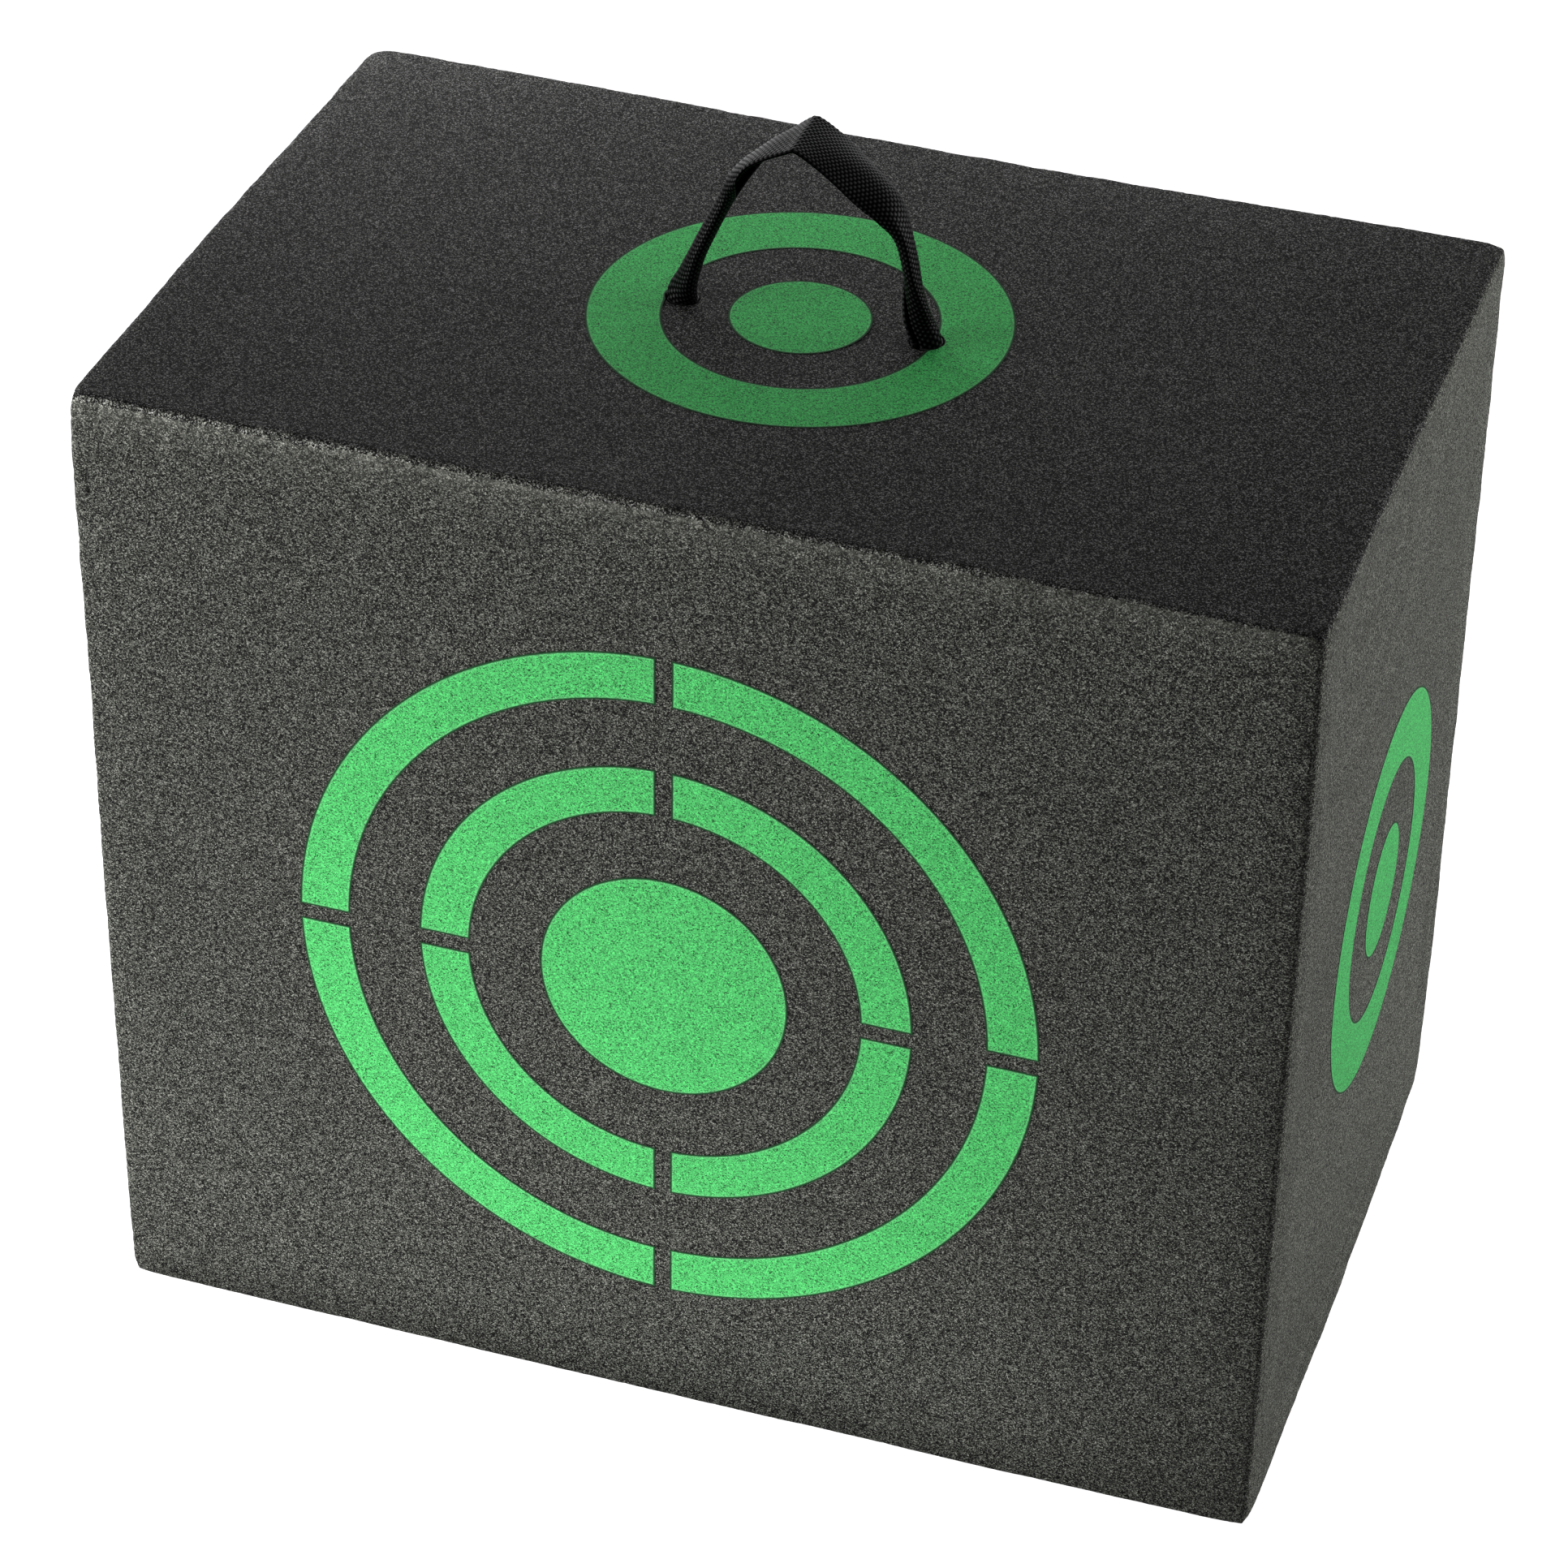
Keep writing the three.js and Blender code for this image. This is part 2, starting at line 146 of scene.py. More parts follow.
class FoamSettings(bpy.types.PropertyGroup):
    """The foam block's finish."""

    face_colour: colour_setting("Face Colour", "Broad faces of the block", "#4f504b")
    top_colour: colour_setting("Top Colour", "Sawn top and underside", "#4b4b4a")
    end_colour: colour_setting("End Colour", "Sawn ends", "#5f605a")
    cell_size: length_setting("Cell Size", "Width of one cut foam cell", 0.34 * MM, 0.1 * MM)
    grid_step: length_setting(
        "Mesh Step", "Distance between mesh lines on the faces", 4 * MM, 2 * MM)
    edge_radius: length_setting(
        "Edge Radius", "Rounding of the block's edges", 1.5 * MM, 0.5 * MM)
    swell: length_setting(
        "Swell", "How far the soft faces stand proud of the nominal size", 0.7 * MM)
    edge_fall: number_setting(
        "Edge Fall", "How much of the faces' fall towards their edges is shaped; the shading "
        "adds as much again", 1.0, max=2)
    edge_tear: length_setting("Edge Tear", "Depth of the torn cells along the edges", 0.3 * MM)


class PrintSettings(bpy.types.PropertyGroup):
    """The printed targets."""

    ink_colour: colour_setting("Ink Colour", "Matt screen ink", "#53c36c")
    top_colour: colour_setting("Top Ink Colour", "Thicker ink on the top", "#52d370")
    film: length_setting(
        "Film Thickness", "How far the ink stands proud of the foam", 0.12 * MM, 0.02 * MM)
    segments: bpy.props.IntProperty(
        name="Segments", description="Straight pieces in each quarter of a ring", default=40, min=8)


class WebbingSettings(bpy.types.PropertyGroup):
    """The webbing of the carry loop."""

    colour: colour_setting("Webbing Colour", "Dyed polypropylene yarn", "#0b0b0c")
    warp_pitch: length_setting(
        "Warp Pitch", "Distance between warp yarns across the webbing", 1.2 * MM, 0.5 * MM)
    weft_pitch: length_setting(
        "Weft Pitch", "Distance between weft yarns along the webbing", 0.85 * MM, 0.3 * MM)
    relief: length_setting("Weave Relief", "Height of a yarn's float", 0.25 * MM)


class StageSettings(bpy.types.PropertyGroup):
    """Floor, backdrop and lamps."""

    floor_size: length_setting("Floor Size", "Width of the floor", 40.0, 2)
    sky: number_setting("Sky", "Strength of the light from all round", 0.05)
    key_power: power_setting("Key Power", "Low lamp to the left of the main face", 31.7)
    side_power: power_setting("Side Power", "Low lamp behind the right end", 16.0)
    back_power: power_setting("Back Power", "Wide lamp close behind the block", 1.6)
    corner_power: power_setting("Corner Power", "Small lamp over the far left corner", 0.45)
    table_power: power_setting("Table Power", "Light off the table in front of the block", 0.64)


# Helpers for meshes and nodes

def new_object(name, mesh):
    """Link a mesh into the scene as a new object at the origin."""
    made = bpy.data.objects.new(name, mesh)
    bpy.context.scene.collection.objects.link(made)
    return made


def mesh_from(name, points, faces, smooth_shading=True):
    """A mesh from points and faces."""
    mesh = bpy.data.meshes.new(name)
    mesh.from_pydata([tuple(p) for p in points], [], [tuple(f) for f in faces])
    mesh.update()
    mesh.polygons.foreach_set("use_smooth", [smooth_shading] * len(mesh.polygons))
    return mesh


def feed(tree, node, links):
    """Set a node's inputs, by name or number, to values or to other nodes' outputs."""
    for key, value in links.items():
        if isinstance(value, bpy.types.NodeSocket):
            tree.links.new(value, node.inputs[key])
        else:
            node.inputs[key].default_value = value


def add_node(tree, kind, links=None, **settings):
    """Add a node to a tree, set its properties and feed its inputs."""
    node = tree.nodes.new(kind)
    for key, value in settings.items():
        setattr(node, key, value)
    feed(tree, node, links or {})
    return node


def first_of(tree, kind, links=None, **settings):
    """The first output of a new node."""
    return add_node(tree, kind, links, **settings).outputs[0]


def new_material(name):
    """A material with an empty tree, its shader and its output."""
    material = bpy.data.materials.new(name)
    material.use_nodes = True
    tree = material.node_tree
    tree.nodes.clear()
    shader = add_node(tree, "ShaderNodeBsdfPrincipled")
    add_node(tree, "ShaderNodeOutputMaterial", {"Surface": shader.outputs["BSDF"]})
    return material, tree, shader


def bake_out(source, name):
    """A plain mesh object from the evaluated one, which is then removed."""
    graph = bpy.context.evaluated_depsgraph_get()
    mesh = bpy.data.meshes.new_from_object(source.evaluated_get(graph))
    mesh.name = name
    old = source.data
    bpy.data.objects.remove(source)
    if old.users == 0:
        bpy.data.meshes.remove(old)
    return new_object(name, mesh)


def run_tree(name, tree, inputs):
    """Run a Geometry Nodes tree on an empty mesh and keep its result as a plain mesh object."""
    carrier = new_object(name + "_carrier", bpy.data.meshes.new(name + "_carrier"))
    modifier = carrier.modifiers.new("shape", "NODES")
    modifier.node_group = tree
    sockets = {item.name: item.identifier for item in tree.interface.items_tree
               if item.item_type == "SOCKET" and item.in_out == "INPUT"}
    for key, value in inputs.items():
        modifier[sockets[key]] = value
    return bake_out(carrier, name)


def new_tree(name, inputs):
    """An empty Geometry Nodes tree with named inputs and one geometry output."""
    tree = bpy.data.node_groups.new(name, "GeometryNodeTree")
    tree.interface.new_socket(name="Geometry", in_out="OUTPUT", socket_type="NodeSocketGeometry")
    for key, kind in inputs.items():
        tree.interface.new_socket(name=key, in_out="INPUT", socket_type=kind)
    return tree, tree.nodes.new("NodeGroupInput").outputs


def math_node(tree, operation, *values):
    """One Math node's output."""
    return first_of(tree, "ShaderNodeMath", dict(enumerate(values)), operation=operation)


def map_range(tree, value, low, high, to_low=0.0, to_high=1.0):
    """A value carried over from one range to another and held at its ends."""
    return first_of(tree, "ShaderNodeMapRange", {
        "Value": value, "From Min": low, "From Max": high, "To Min": to_low, "To Max": to_high})


def mix_colours(tree, factor, first, second):
    """The colour that lies factor of the way from the first to the second."""
    return add_node(tree, "ShaderNodeMix", {
        "Factor": factor, 6: first, 7: second}, data_type="RGBA").outputs[2]


def stored(tree, name):
    """The value that a mesh stores under a name."""
    return add_node(tree, "ShaderNodeAttribute", attribute_name=name).outputs["Fac"]


def bumped(tree, height, distance, **under):
    """The normal of a surface raised by height times distance, over another Normal if given."""
    return first_of(tree, "ShaderNodeBump", {
        "Height": height, "Strength": 1.0, "Distance": distance, **under})


def shade_ramp(tree, number, hex_colour, stops):
    """Shades of one colour along a number. The stops are places and gains on the colour."""
    ramp = add_node(tree, "ShaderNodeValToRGB", {"Fac": number})
    elements = ramp.color_ramp.elements
    while len(elements) < len(stops):
        elements.new(0.5)
    for element, (place, gain) in zip(elements, stops):
        element.position = place
        element.color = (*[min(c * gain, 1.0) for c in linear(hex_colour)[:3]], 1.0)
    return ramp.outputs["Color"]


# Foam and ink

# How much light the cells reflect, as places along a random number and gains on the mean. The
# brightest cells are painted glints of their shiny walls
FOAM_CELLS = ((0.0, 0.05), (0.3, 0.3), (0.55, 0.75), (0.8, 1.7), (0.93, 2.8), (1.0, 4.4))
INK_CELLS = ((0.0, 0.05), (0.15, 0.5), (0.4, 1.0), (0.8, 1.3), (1.0, 1.9))

# A paler skin, in patches of this size, shows cells torn open and also paints light along the edges
TORN_AND_LIT_FOAM = "#86877f"
PALE_PATCH = 2.4 * MM

# The two lines along a print's edge: where they lie, in from it, and their colours
SUNK_LINE, SUNK_INK = (0.45 * MM, 0.8 * MM), "#1c4526"
PILED_LINE, PILED_INK = (0.9 * MM, 1.5 * MM), "#8fe0a0"
INK_CELL_DEPTH = 0.07 * MM


def cell_pattern(tree, cell_size):
    """The place on the piece, a random number for each cut foam cell there, and how far out in
    the cell the place lies."""
    place = add_node(tree, "ShaderNodeTexCoord").outputs["Object"]
    cells = add_node(tree, "ShaderNodeTexVoronoi", {"Vector": place, "Scale": 1 / cell_size})
    shade = add_node(tree, "ShaderNodeSeparateColor", {"Color": cells.outputs["Color"]})
    return place, shade.outputs["Red"], cells.outputs["Distance"]


def cell_colours(tree, number, hex_colour, stops, contrast):
    """A colour for each cell, by its random number. The given colour is their mean."""
    places, gains = np.array(stops).T
    gains = np.maximum(1 + contrast * (gains - 1), 0)
    mean = gains[0] * places[0] + np.sum(np.diff(places) * (gains[1:] + gains[:-1]) / 2)
    return shade_ramp(tree, number, hex_colour, list(zip(places, gains / mean)))


def foam_material(name, hex_colour, contrast, cell_depth, cell_size):
    """Closed-cell foam: matt plastic whose cut cells are small cups with light rims, and whose
    brightest cells are painted glints.
    Torn cells are paler, in patches, the same paler skin paints light along the edges, and the
    shading carries on the fall of the faces to their edges."""
    material, tree, shader = new_material(name)
    place, number, out = cell_pattern(tree, cell_size)
    colours = cell_colours(tree, number, hex_colour, FOAM_CELLS, contrast)
    paler = cell_colours(tree, number, TORN_AND_LIT_FOAM, FOAM_CELLS, 0.45 * contrast)
    patches = first_of(tree, "ShaderNodeTexNoise", {
        "Vector": place, "Scale": 1 / PALE_PATCH, "Detail": 4.0})
    # Paler skin for torn cells and for painted light along the edges, in patches
    torn = math_node(
        tree, "MULTIPLY", stored(tree, "rubbed"), map_range(tree, patches, 0.38, 0.62, 0.15))
    fallen = bumped(tree, stored(tree, "crown"), 1.0)
    feed(tree, shader, {
        "Base Color": mix_colours(tree, torn, colours, paler),
        "Normal": bumped(tree, out, cell_depth, Normal=fallen),
        "Roughness": 0.85, "IOR": 1.5, "Specular IOR Level": 0.11})
    return material


def ink_material(name, hex_colour, cell_size):
    """Matt screen ink on foam: it follows the cells, some of which stay darker, and along its
    edge a thin line has sunk into the cells, beside a line where the ink piled up."""
    material, tree, shader = new_material(name)
    _, number, out = cell_pattern(tree, cell_size)
    colours = cell_colours(tree, number, hex_colour, INK_CELLS, 1.0)
    from_edge = math_node(tree, "MINIMUM", stored(tree, "from_side"), stored(tree, "from_end"))
    piled = mix_colours(
        tree, map_range(tree, from_edge, *PILED_LINE, 0.25, 0.0), colours, linear(PILED_INK))
    feed(tree, shader, {
        "Base Color": mix_colours(
            tree, map_range(tree, from_edge, *SUNK_LINE), linear(SUNK_INK), piled),
        "Normal": bumped(tree, out, INK_CELL_DEPTH),
        "Roughness": 0.75, "Specular IOR Level": 0.12})
    return material


# The foam block

# Where the mesh lines nearest to an edge lie
EDGE_LINES = [distance * MM for distance in (0, 0.8, 1.6, 2.4, 3.6, 5.2, 7.6)]


def graded_lines(low, high, step):
    """Mesh line places along one side: close together at both ends and even between them."""
    lead = EDGE_LINES[-1]
    count = round((high - low - 2 * lead) / step)
    middle = np.linspace(low + lead, high - lead, count + 1)[1:-1]
    return [low + d for d in EDGE_LINES] + list(middle) + [high - d for d in EDGE_LINES[::-1]]


def box_grid(lines):
    """A box whose six faces are gridded on the given line places, as one closed bmesh."""
    grid = bmesh.new()
    found = {}

    def corner(point):
        key = tuple(round(c / (0.01 * MM)) for c in point)
        if key not in found:
            found[key] = grid.verts.new(point)
        return found[key]

    for axis in range(3):
        u_axis, v_axis = (axis + 1) % 3, (axis + 2) % 3
        cells = product(pairwise(lines[u_axis]), pairwise(lines[v_axis]))
        for end, ((u0, u1), (v0, v1)) in product((0, -1), list(cells)):
            ring = []
            for u, v in ((u0, v0), (u1, v0), (u1, v1), (u0, v1)):
                point = [0.0, 0.0, 0.0]
                point[axis], point[u_axis], point[v_axis] = lines[axis][end], u, v
                ring.append(corner(point))
            grid.faces.new(ring if end == -1 else ring[::-1])
    return grid


# The mesh is cut finer this near to the block's edges, where its lines are longer than the short
# ones, and this near to the middle of each foot
EDGE_ZONE = 5.4 * MM
SHORT_LINE = 1.5 * MM
FOOT_ZONE = 13 * MM


def cut_along_edges(grid, cuts):
    """Cut the mesh crosswise along the box's edges, so that torn cells can show."""
    chosen = []
    for edge in grid.edges:
        a, b = edge.verts[0].co, edge.verts[1].co
        along = max(range(3), key=lambda i: abs(a[i] - b[i]))
        near = [min(a[i] - LOW[i], HIGH[i] - a[i]) < EDGE_ZONE
                for i in range(3) if i != along]
        if all(near) and (b - a).length > SHORT_LINE:
            chosen.append(edge)
    bmesh.ops.subdivide_edges(grid, edges=chosen, cuts=cuts, use_grid_fill=True)


def edge_distances(points):
    """For each point, its distance to the nearest face along each axis, nearest first."""
    return np.sort(np.minimum(points - LOW, HIGH - points), axis=1)


def share_of(points):
    """How far along the block each point lies on each axis, from 0 to 1."""
    return (points - LOW) / (HIGH - LOW)


def noise_values(points, size, seed):
    """Smooth noise between about -1 and 1 at each point, with features of a given size."""
    shift = Vector((seed * 7.31, seed * 3.17, seed * 5.53))
    return np.array([noise.noise(Vector(p) / size + shift) for p in points])


# How far each corner of this hand-cut block lies off a true box, in millimetres. The keys are the
# corner's side along X, Y and Z.
CORNER_SHIFTS_MM = {
    (0, 0, 1): (0.5, 0.0, 2.4), (1, 0, 1): (0.4, 0.0, -0.1),
    (0, 1, 1): (0.5, 0.3, 1.6), (1, 1, 1): (0.1, -1.0, 0.1),
    (0, 0, 0): (1.7, -3.4, 0.0), (1, 0, 0): (-0.4, -0.8, 0.0),
    (0, 1, 0): (0.8, 0.5, 0.0), (1, 1, 0): (-0.2, 2.4, 0.0),
}

# How far the middle of the top has sunk, which stretches to the back edge but not to the front one
SAG = 1.7 * MM


def skew(points):
    """Move points with the block's corners, evenly in between, and let the top sag."""
    share = share_of(points)
    moved = points.copy()
    for corner, shift in CORNER_SHIFTS_MM.items():
        weight = np.prod([share[:, i] if corner[i] else 1 - share[:, i] for i in range(3)], axis=0)
        moved += weight[:, None] * np.array(shift) * MM
    x, y, z = np.clip(share, 0, 1).T
    moved[:, 2] -= SAG * (4 * x * (1 - x)) ** 2 * smooth(y, 0, 0.4) * z
    return moved


# How far a face falls away towards a neighbouring one, and over what width, in millimetres. The
# keys are the axis and side of the face and then of its neighbour; other edges take the default.
EDGE_FALLS_MM = {
    (2, 1, 1, 0): (0.0, 10), (2, 1, 1, 1): (0.8, 30),
    (2, 1, 0, 0): (0.6, 14), (2, 1, 0, 1): (0.1, 8),
    (1, 0, 0, 0): (0.5, 22), (1, 0, 0, 1): (0.8, 15),
    (1, 0, 2, 1): (0.25, 10), (1, 0, 2, 0): (0.1, 8),
    (0, 1, 1, 0): (0.8, 16), (0, 1, 1, 1): (0.3, 8),
    (0, 1, 2, 1): (0.1, 8), (0, 1, 2, 0): (0.2, 8),
}
DEFAULT_FALL_MM = (0.5, 14)


def edge_falls(points, axis):
    """How far the face across the given axis falls away at each point."""
    share = share_of(points)
    fall = np.zeros(len(points))
    for side in (0, 1):
        here = (share[:, axis] > 0.5) == bool(side)
        for other in (i for i in range(3) if i != axis):
            for end in (0, 1):
                depth, reach = EDGE_FALLS_MM.get((axis, side, other, end), DEFAULT_FALL_MM)
                away = HIGH[other] - points[:, other] if end else points[:, other] - LOW[other]
                near = np.clip(1 - away / (reach * MM), 0, 1)
                fall += here * depth * MM * near ** 2
    return fall


def all_edge_falls(points):
    """How far each point falls away along each axis."""
    return np.stack([edge_falls(points, axis) for axis in range(3)], axis=1)


# Unevenness along the edges: the size and height of its waves and how far in it reaches
LONG_WAVE = (70 * MM, 0.5 * MM, 34 * MM)
SHORT_WAVE = (13 * MM, 0.3 * MM, 9 * MM)

# How far the edges bow out at their middles, and how far into the faces that reaches
BOW, BOW_REACH = 0.5 * MM, 30 * MM

# How far the corners are blunted, and how far from each corner
BLUNT, BLUNT_REACH = 0.9 * MM, 6 * MM

# How far the right end is hollowed along its top, most of all three tenths of the way back
WAIST = 1.8 * MM

# Height over which the block's foot passes from flat on the ground to its full unevenness
FLAT_FOOT = 12 * MM


def edge_wave(points, beside, wave, seed):
    """Unevenness along the edges, which dies out towards the middles of the faces."""
    size, height, reach = wave
    return noise_values(points, size, seed) * height * (1 - smooth(beside, 0, reach))


def shape_block(points, settings):
    """Round the box's edges, let its faces fall away towards them and tear the cells there."""
    radius = settings.edge_radius
    inner = np.clip(points, LOW + radius, HIGH - radius)
    offset = points - inner
    length = np.linalg.norm(offset, axis=1, keepdims=True)
    outward = offset / np.maximum(length, 1e-9)
    rounded = inner + outward * radius
    _, beside, corner = edge_distances(points).T
    share = np.clip(share_of(points), 0, 1)
    fall = all_edge_falls(points) * settings.edge_fall
    waves = edge_wave(points, beside, LONG_WAVE, 1) + edge_wave(points, beside, SHORT_WAVE, 2)
    torn = noise_values(points, 2.3 * MM, 3) + 0.6 * noise_values(points, 1.1 * MM, 4)
    tear = np.abs(torn) * settings.edge_tear * (1 - smooth(beside, 0.4 * MM, 3.2 * MM))
    blunt = BLUNT * (1 - smooth(corner, 0, BLUNT_REACH)) * (1 - smooth(beside, 0, BLUNT_REACH))
    from_ends = np.max(4 * share * (1 - share), axis=1)
    bow = BOW * from_ends * (1 - smooth(beside, 0, BOW_REACH))
    shift = settings.swell + bow + waves - tear - blunt
    moved = rounded + outward * (shift[:, None] - fall)
    hollow = smooth(share[:, 0], 0.9, 1) * smooth(share[:, 2], 0.7, 1)
    moved[:, 0] -= WAIST * hollow * np.exp(-((share[:, 1] - 0.3) / 0.28) ** 2)
    standing = smooth(points[:, 2], 0, FLAT_FOOT)
    moved[:, 2] = np.where(standing < 1, mix(rounded[:, 2], moved[:, 2], standing), moved[:, 2])
    return skew(moved)


# Depth and width of the dip round each foot and of the valley between the two, and how gently
# the valley starts at a foot
DIP_DEPTH, DIP_WIDTH = 0.3 * MM, 3.2 * MM
VALLEY_DEPTH, VALLEY_WIDTH = 0.2 * MM, 11 * MM
VALLEY_START = 8 * MM


def dimple(points):
    """The top sinks a little round and between the feet of the loop, where the webbing pulls."""
    past = [smooth(points[:, 0], foot.x - VALLEY_START, foot.x + VALLEY_START) for foot in FEET]
    from_line = points[:, 1] - FEET[0].y
    sink = VALLEY_DEPTH * past[0] * (1 - past[1]) * np.exp(-(from_line / VALLEY_WIDTH) ** 2)
    for foot in FEET:
        away = np.hypot(points[:, 0] - foot.x, points[:, 1] - foot.y)
        sink += DIP_DEPTH * np.exp(-((np.maximum(away - ROLL_RADIUS, 0) / DIP_WIDTH) ** 2))
    return np.where(points[:, 2] > TOP - 3 * MM, sink, 0)


def refine_round_feet(grid):
    """Cut the top's mesh finer round the feet of the loop, twice over."""
    for _ in range(2):
        chosen = set()
        for face in grid.faces:
            middle = face.calc_center_median()
            if middle.z > TOP - 0.1 * MM and any(
                    math.hypot(middle.x - f.x, middle.y - f.y) < FOOT_ZONE for f in FEET):
                chosen.update(face.edges)
        bmesh.ops.subdivide_edges(grid, edges=list(chosen), cuts=1, use_grid_fill=True)


def cutter_from_node(name, clearance):
    """A CAD piece grown by a clearance, for cutting the pocket that it lies in."""
    mesh = frame["nodes"][name].data.copy()
    body = bmesh.new()
    body.from_mesh(mesh)
    bmesh.ops.remove_doubles(body, verts=body.verts, dist=TOUCHING)
    body.normal_update()
    for vert in body.verts:
        vert.co += vert.normal * clearance
    body.to_mesh(mesh)
    body.free()
    return new_object(name + "_cutter", mesh)


def hole_cutter(foot):
    """A round cutter for the hole punched for one foot."""
    above = 10 * MM
    body = bmesh.new()
    bmesh.ops.create_cone(
        body, cap_ends=True, segments=48, radius1=HOLE_RADIUS, radius2=HOLE_RADIUS,
        depth=HOLE_DEPTH + above,
        matrix=Matrix.Translation((foot.x, foot.y, TOP + (above - HOLE_DEPTH) / 2)))
    mesh = bpy.data.meshes.new("hole_cutter")
    body.to_mesh(mesh)
    body.free()
    return new_object("hole_cutter", mesh)


def cut_out(piece, cutters, name):
    """Cut a piece with closed bodies, remove them and keep the piece as a plain mesh."""
    for cutter in cutters:
        cut = piece.modifiers.new("cut", "BOOLEAN")
        cut.object = cutter
        cut.operation = "DIFFERENCE"
        cut.solver = "EXACT"
    piece = bake_out(piece, name)
    for cutter in cutters:
        bpy.data.objects.remove(cutter)
    return piece


# The material slot of the faces across each axis: the ends, the broad faces, the top
AXIS_SLOTS = (2, 0, 1)


def read_values(items, key, per_item=1, kind=float):
    """One value or vector of each item of a mesh, as an array."""
    values = np.empty(len(items) * per_item, dtype=kind)
    items.foreach_get(key, values)
    return values.reshape(-1, per_item) if per_item > 1 else values


def face_finish(mesh, materials):
    """Give each face of the block the finish of the side that it lies on, and return the axes
    that the faces lie across."""
    normals = np.abs(read_values(mesh.polygons, "normal", 3))
    centres = read_values(mesh.polygons, "center", 3)
    gaps = np.minimum(centres - LOW, HIGH - centres)
    # On a rounded edge, the way that a face looks decides between two sides
    side = np.argmin(gaps - 0.3 * MM * normals, axis=1)
    mesh.materials.clear()
    for material in materials:
        mesh.materials.append(material)
    mesh.polygons.foreach_set("material_index", [AXIS_SLOTS[int(s)] for s in side])
    return side


def paint_torn_cells_and_edge_light(points):
    """How pale the foam is made at each point, partly for torn cells and partly as painted light:
    most along the top of the main face, in a bright line at the edge and a soft band below it, and
    fading to the right, away from the key lamp, with a faint painted highlight along all edges."""
    beside = edge_distances(points)[:, 1]
    on_front = points[:, 1] < LOW[1] + 0.6 * MM
    below = TOP - points[:, 2]
    line = 0.55 * (1 - smooth(below, 0.5 * MM, 1.5 * MM))
    band = 0.28 * (1 - smooth(below, 1 * MM, 14 * MM))
    # A faint painted highlight along every edge
    elsewhere = 0.12 * (1 - smooth(beside, 0.2 * MM, 1.2 * MM))
    # Painted light, fading to the right, away from the key lamp on the left
    along = mix(1.15, 0.8, share_of(points)[:, 0])
    return np.maximum(on_front * (line + band) * along, elsewhere)


class BOSS_OT_foam_block(bpy.types.Operator):
    """Make the fused foam block with its rounded, torn edges and punched holes"""

    bl_idname = "boss.foam_block"
    bl_label = "Foam Block"

    def execute(self, context):
        settings = context.scene.boss_foam
        cutters = [hole_cutter(foot) for foot in FEET]
        cutters += [cutter_from_node(name, FIT_CLEARANCE) for name in (*TAILS, "anchor_rod")]
        block = new_object("foam_block_plain", self.shaped(settings))
        block = cut_out(block, cutters, "foam_block")
        if min(block.dimensions) < min(HIGH - LOW) / 2:
            raise RuntimeError("the cuts for the holes and pockets left no block")
        mesh = block.data
        mesh.polygons.foreach_set("use_smooth", [True] * len(mesh.polygons))
        points = read_values(mesh.vertices, "co", 3)
        # Painted light along the edges, with torn cells, kept for the foam's paler colour
        rubbed = mesh.attributes.new("rubbed", "FLOAT", "POINT")
        rubbed.data.foreach_set("value", paint_torn_cells_and_edge_light(points).astype(np.float32))
        finishes = (
            # Split faces have even open cells: fine light and dark specks
            ("XPE foam, knife-split face", settings.face_colour, 1.35, 0.2 * MM),
            # The top was sawn across the sheets: darker, with far stronger specks
            ("XPE foam, band-sawn top", settings.top_colour, 3.4, 0.12 * MM),
            # The ends were sawn slowly, so the blade smeared the cells into a flatter skin; their
            # paler colour is painted sheen, which they catch at a glancing view
            ("XPE foam, band-sawn end", settings.end_colour, 1.25, 0.1 * MM),
        )
        side = face_finish(mesh, [
            foam_material(*finish, settings.cell_size) for finish in finishes])
        self.crown(mesh, points, side, settings)
        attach(block, "block")
        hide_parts(*SHEETS)
        return {"FINISHED"}

    @staticmethod
    def shaped(settings):
        """The block's shaped mesh before its holes and pockets are cut."""
        grid = box_grid([
            graded_lines(LOW[i], HIGH[i], settings.grid_step) for i in range(3)])
        cut_along_edges(grid, 2)
        refine_round_feet(grid)
        points = np.array([vert.co[:] for vert in grid.verts])
        shaped = shape_block(points, settings)
        shaped[:, 2] -= dimple(points)
        for vert, place in zip(grid.verts, shaped):
            vert.co = place
        mesh = bpy.data.meshes.new("foam_block")
        grid.to_mesh(mesh)
        grid.free()
        return mesh

    @staticmethod
    def crown(mesh, points, side, settings):
        """Store the faces' fall for their shading, for each face corner by its own face."""
        corners = read_values(mesh.loops, "vertex_index", kind=np.int64)
        counts = read_values(mesh.polygons, "loop_total", kind=np.int64)
        falls = all_edge_falls(points)[corners, np.repeat(side, counts)]
        crown = mesh.attributes.new("crown", "FLOAT", "CORNER")
        crown.data.foreach_set("value", (-settings.edge_fall * falls).astype(np.float32))


# The printed targets

